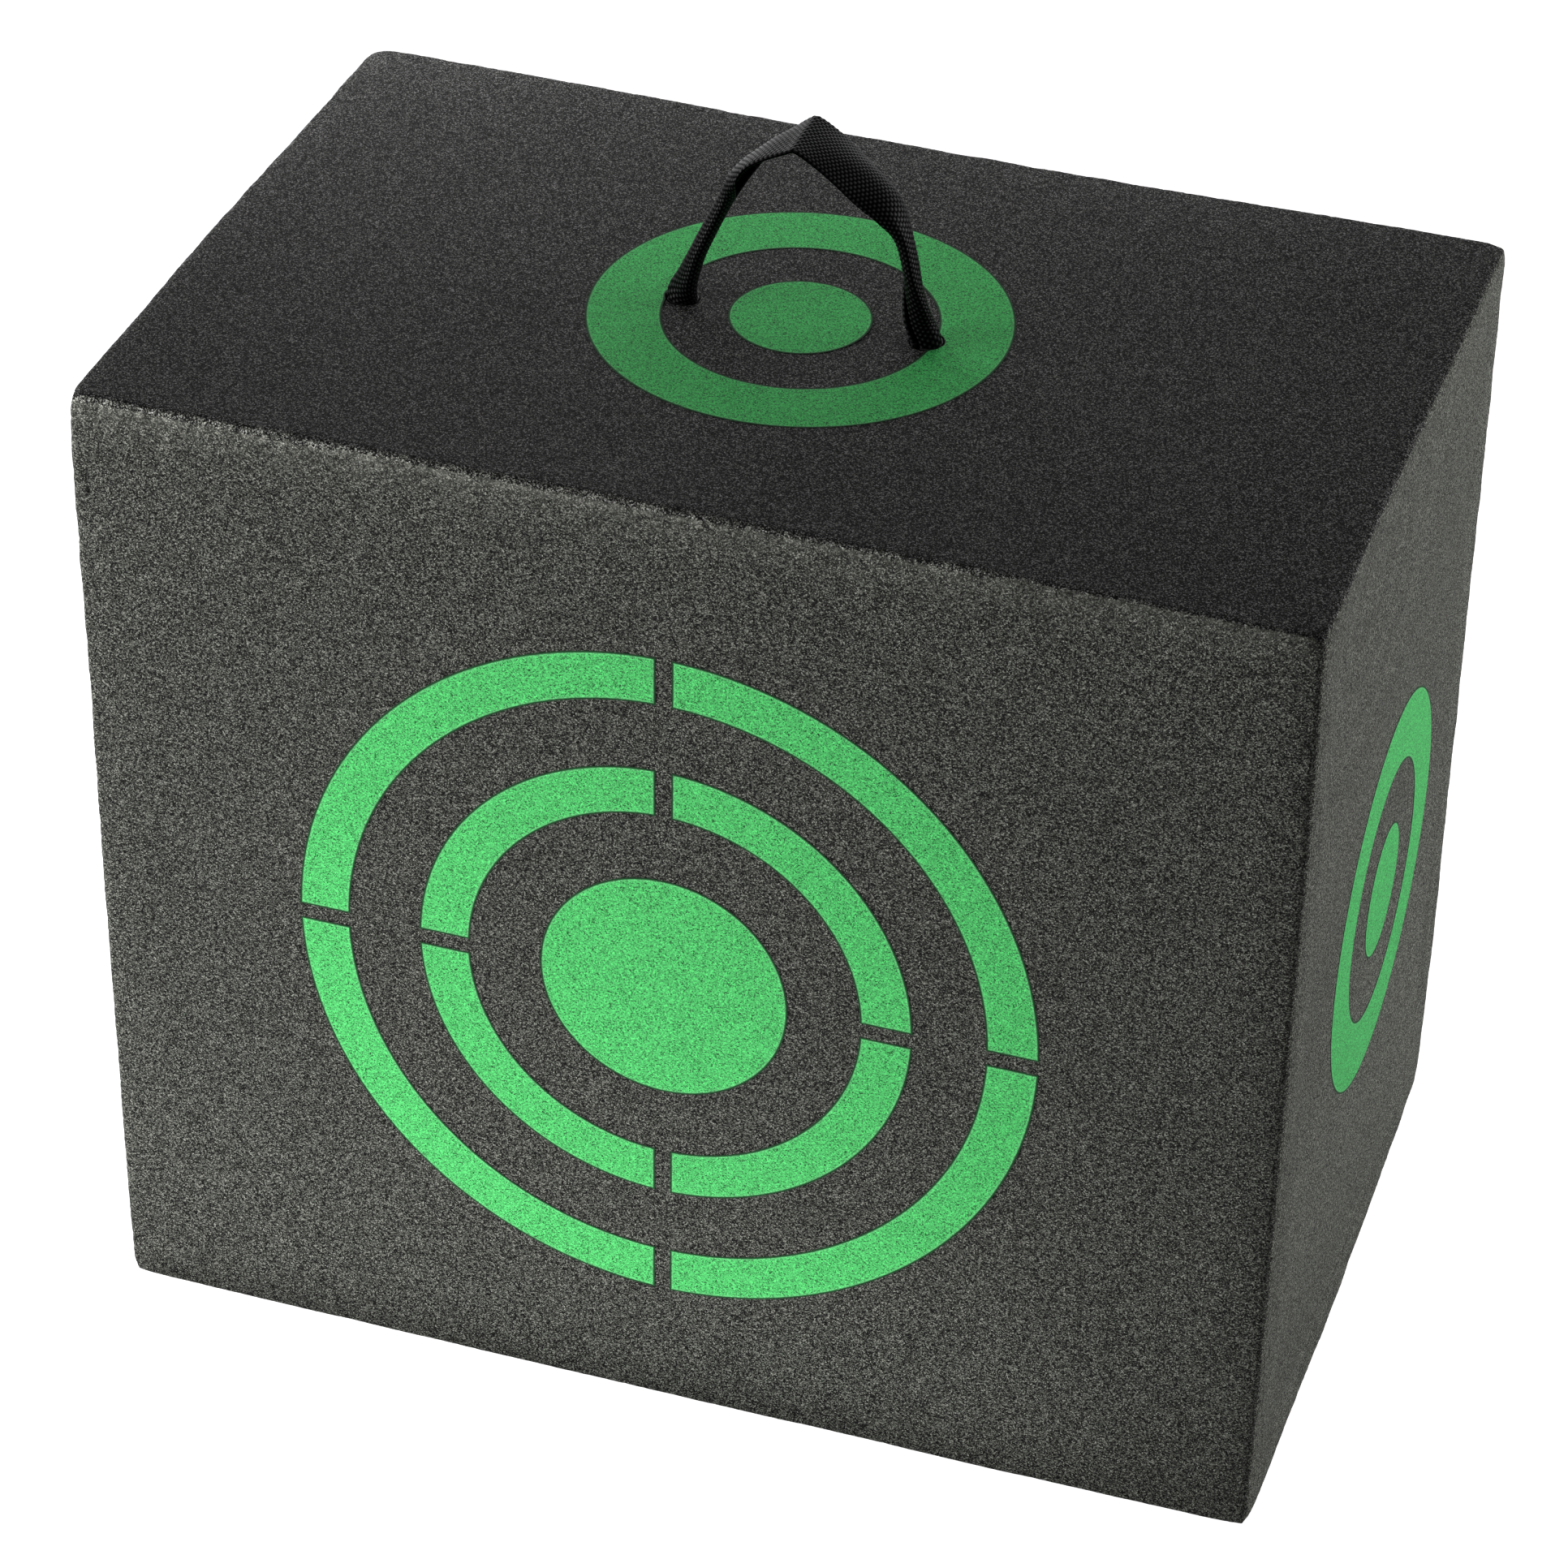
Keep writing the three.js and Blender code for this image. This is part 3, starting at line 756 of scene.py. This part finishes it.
def ring_tree(material):
    """A ring in equal parts with straight gaps between them, as thin closed films on the XY
    plane. With one part and no gap it is a whole ring, or a spot where its inner radius is 0."""
    tree, given = new_tree("printed ring", {
        "Inner Radius": "NodeSocketFloat", "Outer Radius": "NodeSocketFloat",
        "Gap": "NodeSocketFloat", "Film": "NodeSocketFloat", "Parts": "NodeSocketInt",
        "Segments": "NodeSocketInt", "Rows": "NodeSocketInt"})
    node, calc = partial(first_of, tree), partial(math_node, tree)
    inner, outer = given["Inner Radius"], given["Outer Radius"]

    # A square grid is bent into one part: its X runs round the ring and its Y outwards
    grid = node("GeometryNodeMeshGrid", {
        "Size X": 1.0, "Size Y": 1.0, "Vertices X": given["Segments"], "Vertices Y": given["Rows"]})
    square = add_node(tree, "ShaderNodeSeparateXYZ", {0: node("GeometryNodeInputPosition")})
    around, outwards = (calc("ADD", square.outputs[i], 0.5) for i in (0, 1))
    radius = map_range(tree, outwards, 0.0, 1.0, inner, outer)
    half_gap = calc("MULTIPLY", given["Gap"], 0.5)
    trim = calc("ARCSINE", calc("DIVIDE", half_gap, radius))
    full = calc("DIVIDE", math.tau, given["Parts"])
    angle = map_range(tree, around, 0.0, 1.0, calc("SUBTRACT", full, trim), trim)
    across = calc("MULTIPLY", radius, calc("COSINE", angle))
    up = calc("MULTIPLY", radius, calc("SINE", angle))
    bent = node("ShaderNodeCombineXYZ", {0: across, 1: up})

    # How far in from the part's sides and ends each point lies. A spot has no inner side and a
    # whole ring no ends, so there a metre is added, which puts them out of reach
    spot = calc("LESS_THAN", inner, TOUCHING)
    whole = calc("LESS_THAN", given["Parts"], 1.5)
    from_side = calc("MINIMUM", calc("SUBTRACT", outer, radius),
                     calc("ADD", spot, calc("SUBTRACT", radius, inner)))
    from_end = calc("ADD", whole, calc("SUBTRACT", calc("MINIMUM", across, up), half_gap))
    noted = grid
    for key, distance in (("from_side", from_side), ("from_end", from_end)):
        noted = node("GeometryNodeStoreNamedAttribute", {
            "Geometry": noted, "Name": key, "Value": distance})

    # The part is thickened into a closed film and repeated round the ring
    sheet = node("GeometryNodeSetPosition", {"Geometry": noted, "Position": bent})
    seamless = node("GeometryNodeMergeByDistance", {0: sheet, "Distance": TOUCHING})
    upper = node("GeometryNodeExtrudeMesh", {
        "Mesh": seamless, "Offset": (0.0, 0.0, 1.0), "Offset Scale": given["Film"],
        "Individual": False})
    lower = node("GeometryNodeFlipFaces", {0: seamless})
    film = add_node(tree, "GeometryNodeJoinGeometry")
    for part in (upper, lower):
        tree.links.new(part, film.inputs[0])
    closed = node("GeometryNodeMergeByDistance", {0: film.outputs[0], "Distance": TOUCHING})
    turns = node("GeometryNodeMeshLine", {"Count": given["Parts"], "Offset": (0.0, 0.0, 0.0)})
    index = node("GeometryNodeInputIndex")
    turn = node("ShaderNodeCombineXYZ", {2: calc("MULTIPLY", index, full)})
    copies = node("GeometryNodeInstanceOnPoints", {
        "Points": turns, "Instance": closed, "Rotation": turn})
    real = node("GeometryNodeRealizeInstances", {0: copies})
    dressed = node("GeometryNodeSetMaterial", {0: real, "Material": material})
    add_node(tree, "NodeGroupOutput", {0: dressed})
    return tree


# For each printed face, the axis that it lies across and the direction to its right
FACES = {
    "front": (1, (1, 0, 0)), "back": (1, (-1, 0, 0)), "right": (0, (0, 1, 0)),
    "left": (0, (0, -1, 0)), "top": (2, (1, 0, 0)),
}

# How far the ink has crept past the printed edge
BLEED = 0.35 * MM


def face_matrix(face):
    """The matrix that takes the XY plane, facing +Z, onto one face of the block."""
    axis, right = FACES[face]
    right = Vector(right)
    up = Vector((0, 1, 0)) if face == "top" else UP
    out = right.cross(up)
    middle = centre_of(face + "_spot")
    middle[axis] = HIGH[axis] if out[axis] > 0 else LOW[axis]
    turned = Matrix((right, up, out)).transposed().to_4x4()
    return Matrix.Translation(middle) @ turned


def node_radii(face, names):
    """The inner and outer radius of the printed CAD nodes with these names, about their spot."""
    centre = centre_of(face + "_spot")
    flat = [axis for axis in range(3) if axis != FACES[face][0]]
    away = [math.hypot(*(vert.co[axis] - centre[axis] for axis in flat))
            for name in names for vert in frame["nodes"][name].data.vertices]
    return min(away), max(away)


def quarter_gap(nodes):
    """The width of the straight gap between a ring's upper and lower quarters."""
    upper = min(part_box(name)[0].z for name in nodes if "upper" in name)
    lower = max(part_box(name)[1].z for name in nodes if "lower" in name)
    return upper - lower


class BOSS_OT_printed_targets(bpy.types.Operator):
    """Print the spots and rings on the five faces"""

    bl_idname = "boss.printed_targets"
    bl_label = "Printed Targets"

    def execute(self, context):
        settings = context.scene.boss_print
        cell = context.scene.boss_foam.cell_size
        tree = ring_tree(ink_material("Green screen ink on foam", settings.ink_colour, cell))
        top_tree = ring_tree(ink_material("Green screen ink, thick", settings.top_colour, cell))
        for face in FACES:
            printed = sorted(name for name in frame["nodes"] if name.startswith(face + "_"))
            spot = [name for name in printed if name.endswith("_spot")]
            chosen = top_tree if face == "top" else tree
            self.lay(context.scene, chosen, face, face + "_spot_print", spot)
            for ring in sorted({name.split("_ring")[0] for name in printed if "_ring" in name}):
                nodes = [name for name in printed if name.startswith(ring + "_ring")]
                self.lay(context.scene, chosen, face, ring + "_ring_print", nodes)
        return {"FINISHED"}

    @staticmethod
    def lay(scene, tree, face, name, nodes):
        """Print one spot or ring in place of its CAD nodes."""
        settings = scene.boss_print
        inner, outer = node_radii(face, nodes)
        spot = nodes[0].endswith("_spot")
        quartered = len(nodes) > 1
        quarters = 1 if quartered else 4
        piece = run_tree(name + "_flat", tree, {
            "Inner Radius": 0.0 if spot else inner - BLEED, "Outer Radius": outer + BLEED,
            "Gap": quarter_gap(nodes) - BLEED * 2 if quartered else 0.0, "Parts": len(nodes),
            "Film": settings.film, "Rows": 9, "Segments": settings.segments * quarters + 1})
        mesh = piece.data
        mesh.transform(face_matrix(face) @ Matrix.Translation((0, 0, scene.boss_foam.swell)))
        mesh.vertices.foreach_set("co", skew(read_values(mesh.vertices, "co", 3)).reshape(-1))
        mesh.update()
        if face == "top":
            piece = cut_out(piece, [hole_cutter(foot) for foot in FEET], name)
        piece.name = piece.data.name = name
        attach(piece, "block")
        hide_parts(*nodes)


# The carry loop

# The loop from its left foot to its right one. Each station gives x and z from the middle of the
# block's top and y, in millimetres, then how far the webbing is curled up, in degrees, how much its
# curl is flattened, and how far its section is turned about the loop's line, in degrees.
LOOP_STATIONS = (
    (-42.2, -2.4, 0, 325, 1.1, 65), (-42.1, 1.2, 0, 325, 1.15, 60),
    (-41, 5.5, 0, 325, 1.9, 24), (-36.4, 18.5, 0, 325, 3, 8),
    (-29.4, 34.3, 0, 325, 3.2, 4), (-25.6, 42.3, 0, 310, 3.2, 0),
    (-22.2, 49, 0, 220, 3.2, -6), (-17.1, 55.6, 0, 100, 2.4, -12),
    (-10.9, 61.1, 0, 40, 1, -6), (-4.4, 64.8, 0, 0, 1, 0), (-1.9, 65.9, 0, 0, 1, 0),
    (0.6, 65.1, 0, 0, 1, 0), (10.9, 58.9, 0.3, 40, 1, 0), (20.5, 50.7, 1.4, 120, 1.3, 0),
    (26.2, 44.9, 1.6, 210, 1.9, -8), (29.9, 38.8, 1.2, 290, 2.9, -14),
    (32, 33.2, 0.5, 325, 3.2, -16), (34.2, 24.6, 0, 325, 3.2, -14),
    (35.2, 17, 0, 325, 2.3, -28), (37, 7.4, 0, 325, 1.4, -52),
    (39.5, 1.2, 0, 325, 1.15, -62), (40, -2.4, 0, 325, 1.1, -65),
)
WEBBING_WIDTH = 25 * MM
WEBBING_THICKNESS = 1.6 * MM

# Mesh lines along the loop and across its webbing
LOOP_ROWS, LOOP_COLUMNS = 440, 67

# Share of the webbing's half width over which it thins at its edges
SELVEDGE = 0.06

# Painted light on the yarns, as places along their height and gains on their colour: painted shade
# in the gaps between them, and painted highlights on the crowns where the light catches them
YARN_PAINTED_LIGHT = ((0.35, 0.15), (0.7, 1.0), (1.0, 10.0))


def softened(values, width=21):
    """Values along the loop with their corners rounded off."""
    weights = np.hanning(width + 2)[1:-1]
    weights /= weights.sum()
    for _ in range(2):
        values = np.convolve(np.pad(values, width // 2, mode="edge"), weights, "valid")
    return values


def centre_line(samples, steps=4000):
    """Evenly spaced points along the loop, their directions, the run so far, and the curl,
    flattening and turn of the webbing there. The curve is first measured in that many steps."""
    stations = np.array(LOOP_STATIONS)
    knots = stations[:, :2] * MM + np.array([0.0, TOP])
    chord = np.hypot(*np.diff(knots, axis=0).T) ** 0.5
    t = np.concatenate([[0], np.cumsum(chord)])
    fine = np.linspace(0, t[-1], steps)
    dense = np.stack([hermite(t, knots[:, i], fine) for i in range(2)], axis=1)
    dense_run = np.concatenate([[0], np.cumsum(np.hypot(*np.diff(dense, axis=0).T))])
    run = np.linspace(0, dense_run[-1], samples)
    x, z = (np.interp(run, dense_run, dense[:, i]) for i in range(2))
    at = np.interp(run, dense_run, fine)
    y, curl, stretch, turn = (softened(np.interp(at, t, stations[:, i])) for i in range(2, 6))
    along = np.gradient(np.stack([x, 0 * x, z], axis=1), axis=0)
    along /= np.linalg.norm(along, axis=1, keepdims=True)
    places = np.stack([x, y * MM, z], axis=1)
    return places, along, run, np.radians(np.maximum(curl, 0.5)), stretch, np.radians(turn)


def hermite(t, values, at):
    """A smooth curve through values at t, with slopes from their neighbours."""
    slopes = np.gradient(values, t)
    i = np.clip(np.searchsorted(t, at, side="right") - 1, 0, len(t) - 2)
    span = t[i + 1] - t[i]
    u = (at - t[i]) / span
    return ((1 + 2 * u) * (1 - u) ** 2 * values[i] + u * (1 - u) ** 2 * span * slopes[i]
            + u * u * (3 - 2 * u) * values[i + 1] + u * u * (u - 1) * span * slopes[i + 1])


def weave_height(along, across, settings):
    """Height, from 0 to 1, of a weave whose warp yarns float over every other weft."""
    yarn = np.floor(across / settings.warp_pitch)
    crown = np.sin((across / settings.warp_pitch - yarn) * math.pi)
    return crown * (0.5 + 0.5 * np.cos(math.pi * (along / settings.weft_pitch + yarn)))


class BOSS_OT_carry_loop(bpy.types.Operator):
    """Make the woven carry loop, flat and creased on top and rolled up down each leg"""

    bl_idname = "boss.carry_loop"
    bl_label = "Carry Loop"

    def execute(self, context):
        settings = context.scene.boss_webbing
        places, along, run, curl, stretch, turn = centre_line(LOOP_ROWS)
        outward = np.stack([-along[:, 2], np.zeros(LOOP_ROWS), along[:, 0]], axis=1)
        level = np.array([0.0, 1.0, 0.0])
        across = level * np.cos(turn)[:, None] + outward * np.sin(turn)[:, None]
        facing = outward * np.cos(turn)[:, None] - level * np.sin(turn)[:, None]
        share = np.linspace(-0.5, 0.5, LOOP_COLUMNS)
        angles = curl[:, None] * share[None, :]
        flat_x = stretch[:, None] * np.sin(angles)
        flat_y = np.cos(angles) - 1
        girth = np.hypot(np.diff(flat_x, axis=1), np.diff(flat_y, axis=1)).sum(axis=1)
        scale = (WEBBING_WIDTH / girth)[:, None]
        flat_x -= (flat_x.max(1) + flat_x.min(1))[:, None] / 2
        flat_y -= (flat_y.max(1) + flat_y.min(1))[:, None] / 2

        def in_space(x, y):
            """Places in the webbing's cross-sections as vectors."""
            return x[..., None] * across[:, None, :] + y[..., None] * facing[:, None, :]

        middle = places[:, None, :] + in_space(flat_x * scale, flat_y * scale)
        lean_x, lean_y = np.sin(angles), stretch[:, None] * np.cos(angles)
        lean = np.hypot(lean_x, lean_y)
        normal = in_space(lean_x / lean, lean_y / lean)
        lengths, widths = np.meshgrid(run, (share + 0.5) * WEBBING_WIDTH, indexing="ij")
        into_edge = np.maximum(np.abs(share) * 2 - 1 + SELVEDGE, 0) / SELVEDGE
        thin = np.sqrt(np.clip(1 - into_edge ** 2, 0.05, 1))
        valley = settings.relief * (1 - weave_height(lengths, widths, settings))
        proud = normal * ((WEBBING_THICKNESS / 2 - valley) * thin)[..., None]
        loop = self.skin(middle + proud, middle - proud, lengths, widths)
        loop.data.materials.append(webbing_material(settings))
        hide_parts("carry_loop")
        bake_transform(loop)
        return {"FINISHED"}

    @staticmethod
    def skin(outer, inner, lengths, widths):
        """Close the outer and inner skins into one strap with UVs along it."""
        rows, columns, _ = outer.shape
        ring = 2 * columns
        points = np.concatenate([outer, inner[:, ::-1]], axis=1).reshape(-1, 3)
        places = np.stack([lengths, widths], axis=2) / WEBBING_WIDTH
        places = np.concatenate([places, places[:, ::-1]], axis=1).reshape(-1, 2)
        faces = []
        for this in range(0, (rows - 1) * ring, ring):
            after = this + ring
            for i in range(ring):
                j = (i + 1) % ring
                faces.append((this + i, after + i, after + j, this + j))
        last = (rows - 1) * ring
        for i in range(columns - 1):
            over = ring - 1 - i
            faces.append((i, i + 1, over - 1, over))
            faces.append((last + over, last + over - 1, last + i + 1, last + i))
        mesh = mesh_from("carry_loop_webbing", points, faces)
        uv = mesh.uv_layers.new(name="along the webbing")
        corners = read_values(mesh.loops, "vertex_index", kind=np.int64)
        uv.data.foreach_set("uv", places[corners].astype(np.float32).reshape(-1))
        return new_object("carry_loop_webbing", mesh)


def webbing_material(settings):
    """Black polypropylene webbing: the yarns' crowns shine, by their gloss and by painted
    highlights, and painted shade keeps the gaps between them black.
    The nodes repeat weave_height, so the painted light and the relief fall together."""
    material, tree, shader = new_material("Black polypropylene webbing")
    calc = partial(math_node, tree)
    place = add_node(tree, "ShaderNodeSeparateXYZ", {
        0: add_node(tree, "ShaderNodeTexCoord").outputs["UV"]})
    along = calc("MULTIPLY", place.outputs[0], WEBBING_WIDTH / settings.weft_pitch)
    across = calc("MULTIPLY", place.outputs[1], WEBBING_WIDTH / settings.warp_pitch)
    crown = calc("SINE", calc("MULTIPLY", calc("FRACT", across), math.pi))
    phase = calc("MULTIPLY", calc("ADD", along, calc("FLOOR", across)), math.pi)
    floating = calc("MULTIPLY_ADD", calc("COSINE", phase), 0.5, 0.5)
    height = calc("MULTIPLY", crown, floating)
    # Painted shade in the yarns' gaps and painted highlights on their crowns
    feed(tree, shader, {
        "Base Color": shade_ramp(tree, height, settings.colour, YARN_PAINTED_LIGHT),
        "Specular IOR Level": calc("MULTIPLY", height, 0.22), "Roughness": 0.5})
    return material


# The hidden pieces

class BOSS_OT_hidden_pieces(bpy.types.Operator):
    """Finish the tails and the rod that hold the loop inside the block"""

    bl_idname = "boss.hidden_pieces"
    bl_label = "Tails and Rod"

    def execute(self, context):
        # The same black yarn as the loop's, on tails that nothing shows
        yarn, tree, shader = new_material("Black polypropylene webbing, tail")
        feed(tree, shader, {
            "Base Color": linear(context.scene.boss_webbing.colour), "Roughness": 0.6})
        for name, material in ((TAILS[0], yarn), (TAILS[1], yarn), ("anchor_rod", self.nylon())):
            mesh = frame["nodes"][name].data
            mesh.materials.clear()
            mesh.materials.append(material)
        return {"FINISHED"}

    @staticmethod
    def nylon():
        """Natural nylon rod: ivory and slightly cloudy, with fine drawing lines."""
        material, tree, shader = new_material("Natural nylon, extruded")
        place = add_node(tree, "ShaderNodeTexCoord").outputs["Object"]
        drawn = first_of(tree, "ShaderNodeMapping", {"Vector": place, "Scale": (0.02, 1.0, 1.0)})
        streaks = first_of(tree, "ShaderNodeTexNoise", {"Vector": drawn, "Scale": 1 / (0.8 * MM)})
        shade = mix_colours(tree, streaks, linear("#cfcabb"), linear("#e2dfd3"))
        feed(tree, shader, {"Base Color": shade, "Roughness": 0.45})
        return material


# The stage

# How white the camera sees the floor, how much the floor lights the block, and how white the
# room is in reflections, where 1 is white
FLOOR_SEEN, FLOOR_GLOW, ROOM_REFLECTED = 0.92, 0.055, 0.3

# Each lamp, the setting of its power, its place, what it aims at, its width and its height
LAMPS = (
    ("key_lamp", "key_power", (-1.277, -0.679, 0.276), (0, 0, TOP / 2), 0.8, 0.8),
    ("side_lamp", "side_power", (1.458, 0.842, 0.412), (0, 0, TOP / 2), 0.9, 0.9),
    ("back_lamp", "back_power", (-0.2, 0.5, 0.5), (-0.2, 0, 0.25), 0.7, 0.25),
    ("corner_lamp", "corner_power", (-0.32, 0.27, 0.44), (-0.12, 0.07, 0.32), 0.25, 0.1),
    ("table_glow", "table_power", (-0.1, -0.295, 0.002), (-0.1, -0.295, 1), 0.5, 0.3),
)


def shown_white(tree, white, plain):
    """White for what the camera sees and plain light for the rest. Reflections get a soft grey,
    because matt foam would pick up a veil from an all-white room."""
    ray = add_node(tree, "ShaderNodeLightPath").outputs
    seen = math_node(tree, "MAXIMUM", ray["Is Camera Ray"], ray["Is Transmission Ray"])
    glossy = math_node(tree, "MULTIPLY", ray["Is Glossy Ray"], ROOM_REFLECTED)
    lit = math_node(tree, "MULTIPLY", seen, white - plain)
    return math_node(tree, "ADD", math_node(tree, "MAXIMUM", lit, glossy), plain)


class BOSS_OT_stage(bpy.types.Operator):
    """Set up the pale floor, the white backdrop, the lamps and the camera"""

    bl_idname = "boss.stage"
    bl_label = "Stage"

    def execute(self, context):
        settings = context.scene.boss_stage
        self.make_floor(settings)
        self.make_world(context.scene, settings)
        for name, power, place, aim, width, height in LAMPS:
            self.make_lamp(
                name, getattr(settings, power), Vector(place), Vector(aim), width, height)
        self.make_camera(context.scene)
        context.scene.view_settings.view_transform = "Standard"
        return {"FINISHED"}

    @staticmethod
    def make_floor(settings):
        """A floor of white paper, which keeps the block's shadow."""
        half = settings.floor_size / 2
        corners = [(x * half, y * half, 0) for x, y in ((-1, -1), (1, -1), (1, 1), (-1, 1))]
        mesh = mesh_from("studio_floor", corners, [(0, 1, 2, 3)], False)
        material, tree, shader = new_material("White seamless paper")
        feed(tree, shader, {
            "Base Color": linear("#e6e6e6"), "Roughness": 0.95, "Specular IOR Level": 0.0,
            "Emission Color": (1, 1, 1, 1),
            "Emission Strength": shown_white(tree, FLOOR_SEEN, FLOOR_GLOW)})
        mesh.materials.append(material)
        new_object("studio_floor", mesh)

    @staticmethod
    def make_world(scene, settings):
        """A white backdrop that gives little light."""
        world = bpy.data.worlds.new("studio")
        world.use_nodes = True
        tree = world.node_tree
        tree.nodes.clear()
        sky = first_of(tree, "ShaderNodeBackground", {
            "Color": (1, 1, 1, 1), "Strength": shown_white(tree, 1.0, settings.sky)})
        add_node(tree, "ShaderNodeOutputWorld", {"Surface": sky})
        scene.world = world

    @staticmethod
    def make_lamp(name, power, place, aim, width, height):
        """One area lamp, turned to what it aims at and hidden from the camera."""
        light = bpy.data.lights.new(name, "AREA")
        light.energy = power
        light.shape = "RECTANGLE"
        light.size, light.size_y = width, height
        lamp = bpy.data.objects.new(name, light)
        lamp.visible_camera = False
        bpy.context.scene.collection.objects.link(lamp)
        lamp.location = place
        lamp.rotation_mode = "QUATERNION"
        lamp.rotation_quaternion = (aim - place).to_track_quat("-Z", "Y")

    @staticmethod
    def make_camera(scene):
        """The camera that took the reference view."""
        data = bpy.data.cameras.new("photo_camera")
        data.sensor_width = SENSOR_MM
        data.lens = SENSOR_MM * FOCAL_PIXELS / PICTURE_PIXELS
        data.clip_start, data.clip_end = 0.05, 100
        camera = bpy.data.objects.new("photo_camera", data)
        scene.collection.objects.link(camera)
        level = CAMERA_AIM.cross(UP).normalized()
        upward = level.cross(CAMERA_AIM)
        right = level * math.cos(CAMERA_ROLL) + upward * math.sin(CAMERA_ROLL)
        top = upward * math.cos(CAMERA_ROLL) - level * math.sin(CAMERA_ROLL)
        turned = Matrix((right, top, -CAMERA_AIM)).transposed().to_4x4()
        camera.matrix_world = Matrix.Translation(CAMERA_PLACE) @ turned
        scene.camera = camera


class BOSS_PT_sidebar(bpy.types.Panel):
    """The boss's sizes, colours and buttons"""

    bl_idname = "BOSS_PT_sidebar"
    bl_label = "Target Boss"
    bl_space_type = "VIEW_3D"
    bl_region_type = "UI"
    bl_category = "Target Boss"

    def draw(self, context):
        for title, group, operators in PANEL_ROWS:
            box = self.layout.box()
            box.label(text=title)
            settings = getattr(context.scene, group)
            for key in settings.__annotations__:
                box.prop(settings, key)
            for operator in operators:
                box.operator(operator.bl_idname)


PANEL_ROWS = (
    ("Foam", "boss_foam", (BOSS_OT_foam_block,)),
    ("Prints", "boss_print", (BOSS_OT_printed_targets,)),
    ("Webbing", "boss_webbing", (BOSS_OT_carry_loop, BOSS_OT_hidden_pieces)),
    ("Stage", "boss_stage", (BOSS_OT_stage,)),
)
GROUPS = {
    "boss_foam": FoamSettings,
    "boss_print": PrintSettings,
    "boss_webbing": WebbingSettings,
    "boss_stage": StageSettings,
}
CLASSES = (
    *GROUPS.values(),
    BOSS_OT_foam_block,
    BOSS_OT_printed_targets,
    BOSS_OT_carry_loop,
    BOSS_OT_hidden_pieces,
    BOSS_OT_stage,
    BOSS_PT_sidebar,
)


def register():
    for cls in CLASSES:
        bpy.utils.register_class(cls)
    for key, group in GROUPS.items():
        setattr(bpy.types.Scene, key, bpy.props.PointerProperty(type=group))


def unregister():
    for key in GROUPS:
        delattr(bpy.types.Scene, key)
    for cls in reversed(CLASSES):
        bpy.utils.unregister_class(cls)


def main():
    """Build the whole visual model."""
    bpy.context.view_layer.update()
    register()
    bpy.ops.boss.stage()
    bpy.ops.boss.foam_block()
    bpy.ops.boss.printed_targets()
    bpy.ops.boss.carry_loop()
    bpy.ops.boss.hidden_pieces()


if __name__ == "__main__":
    main()
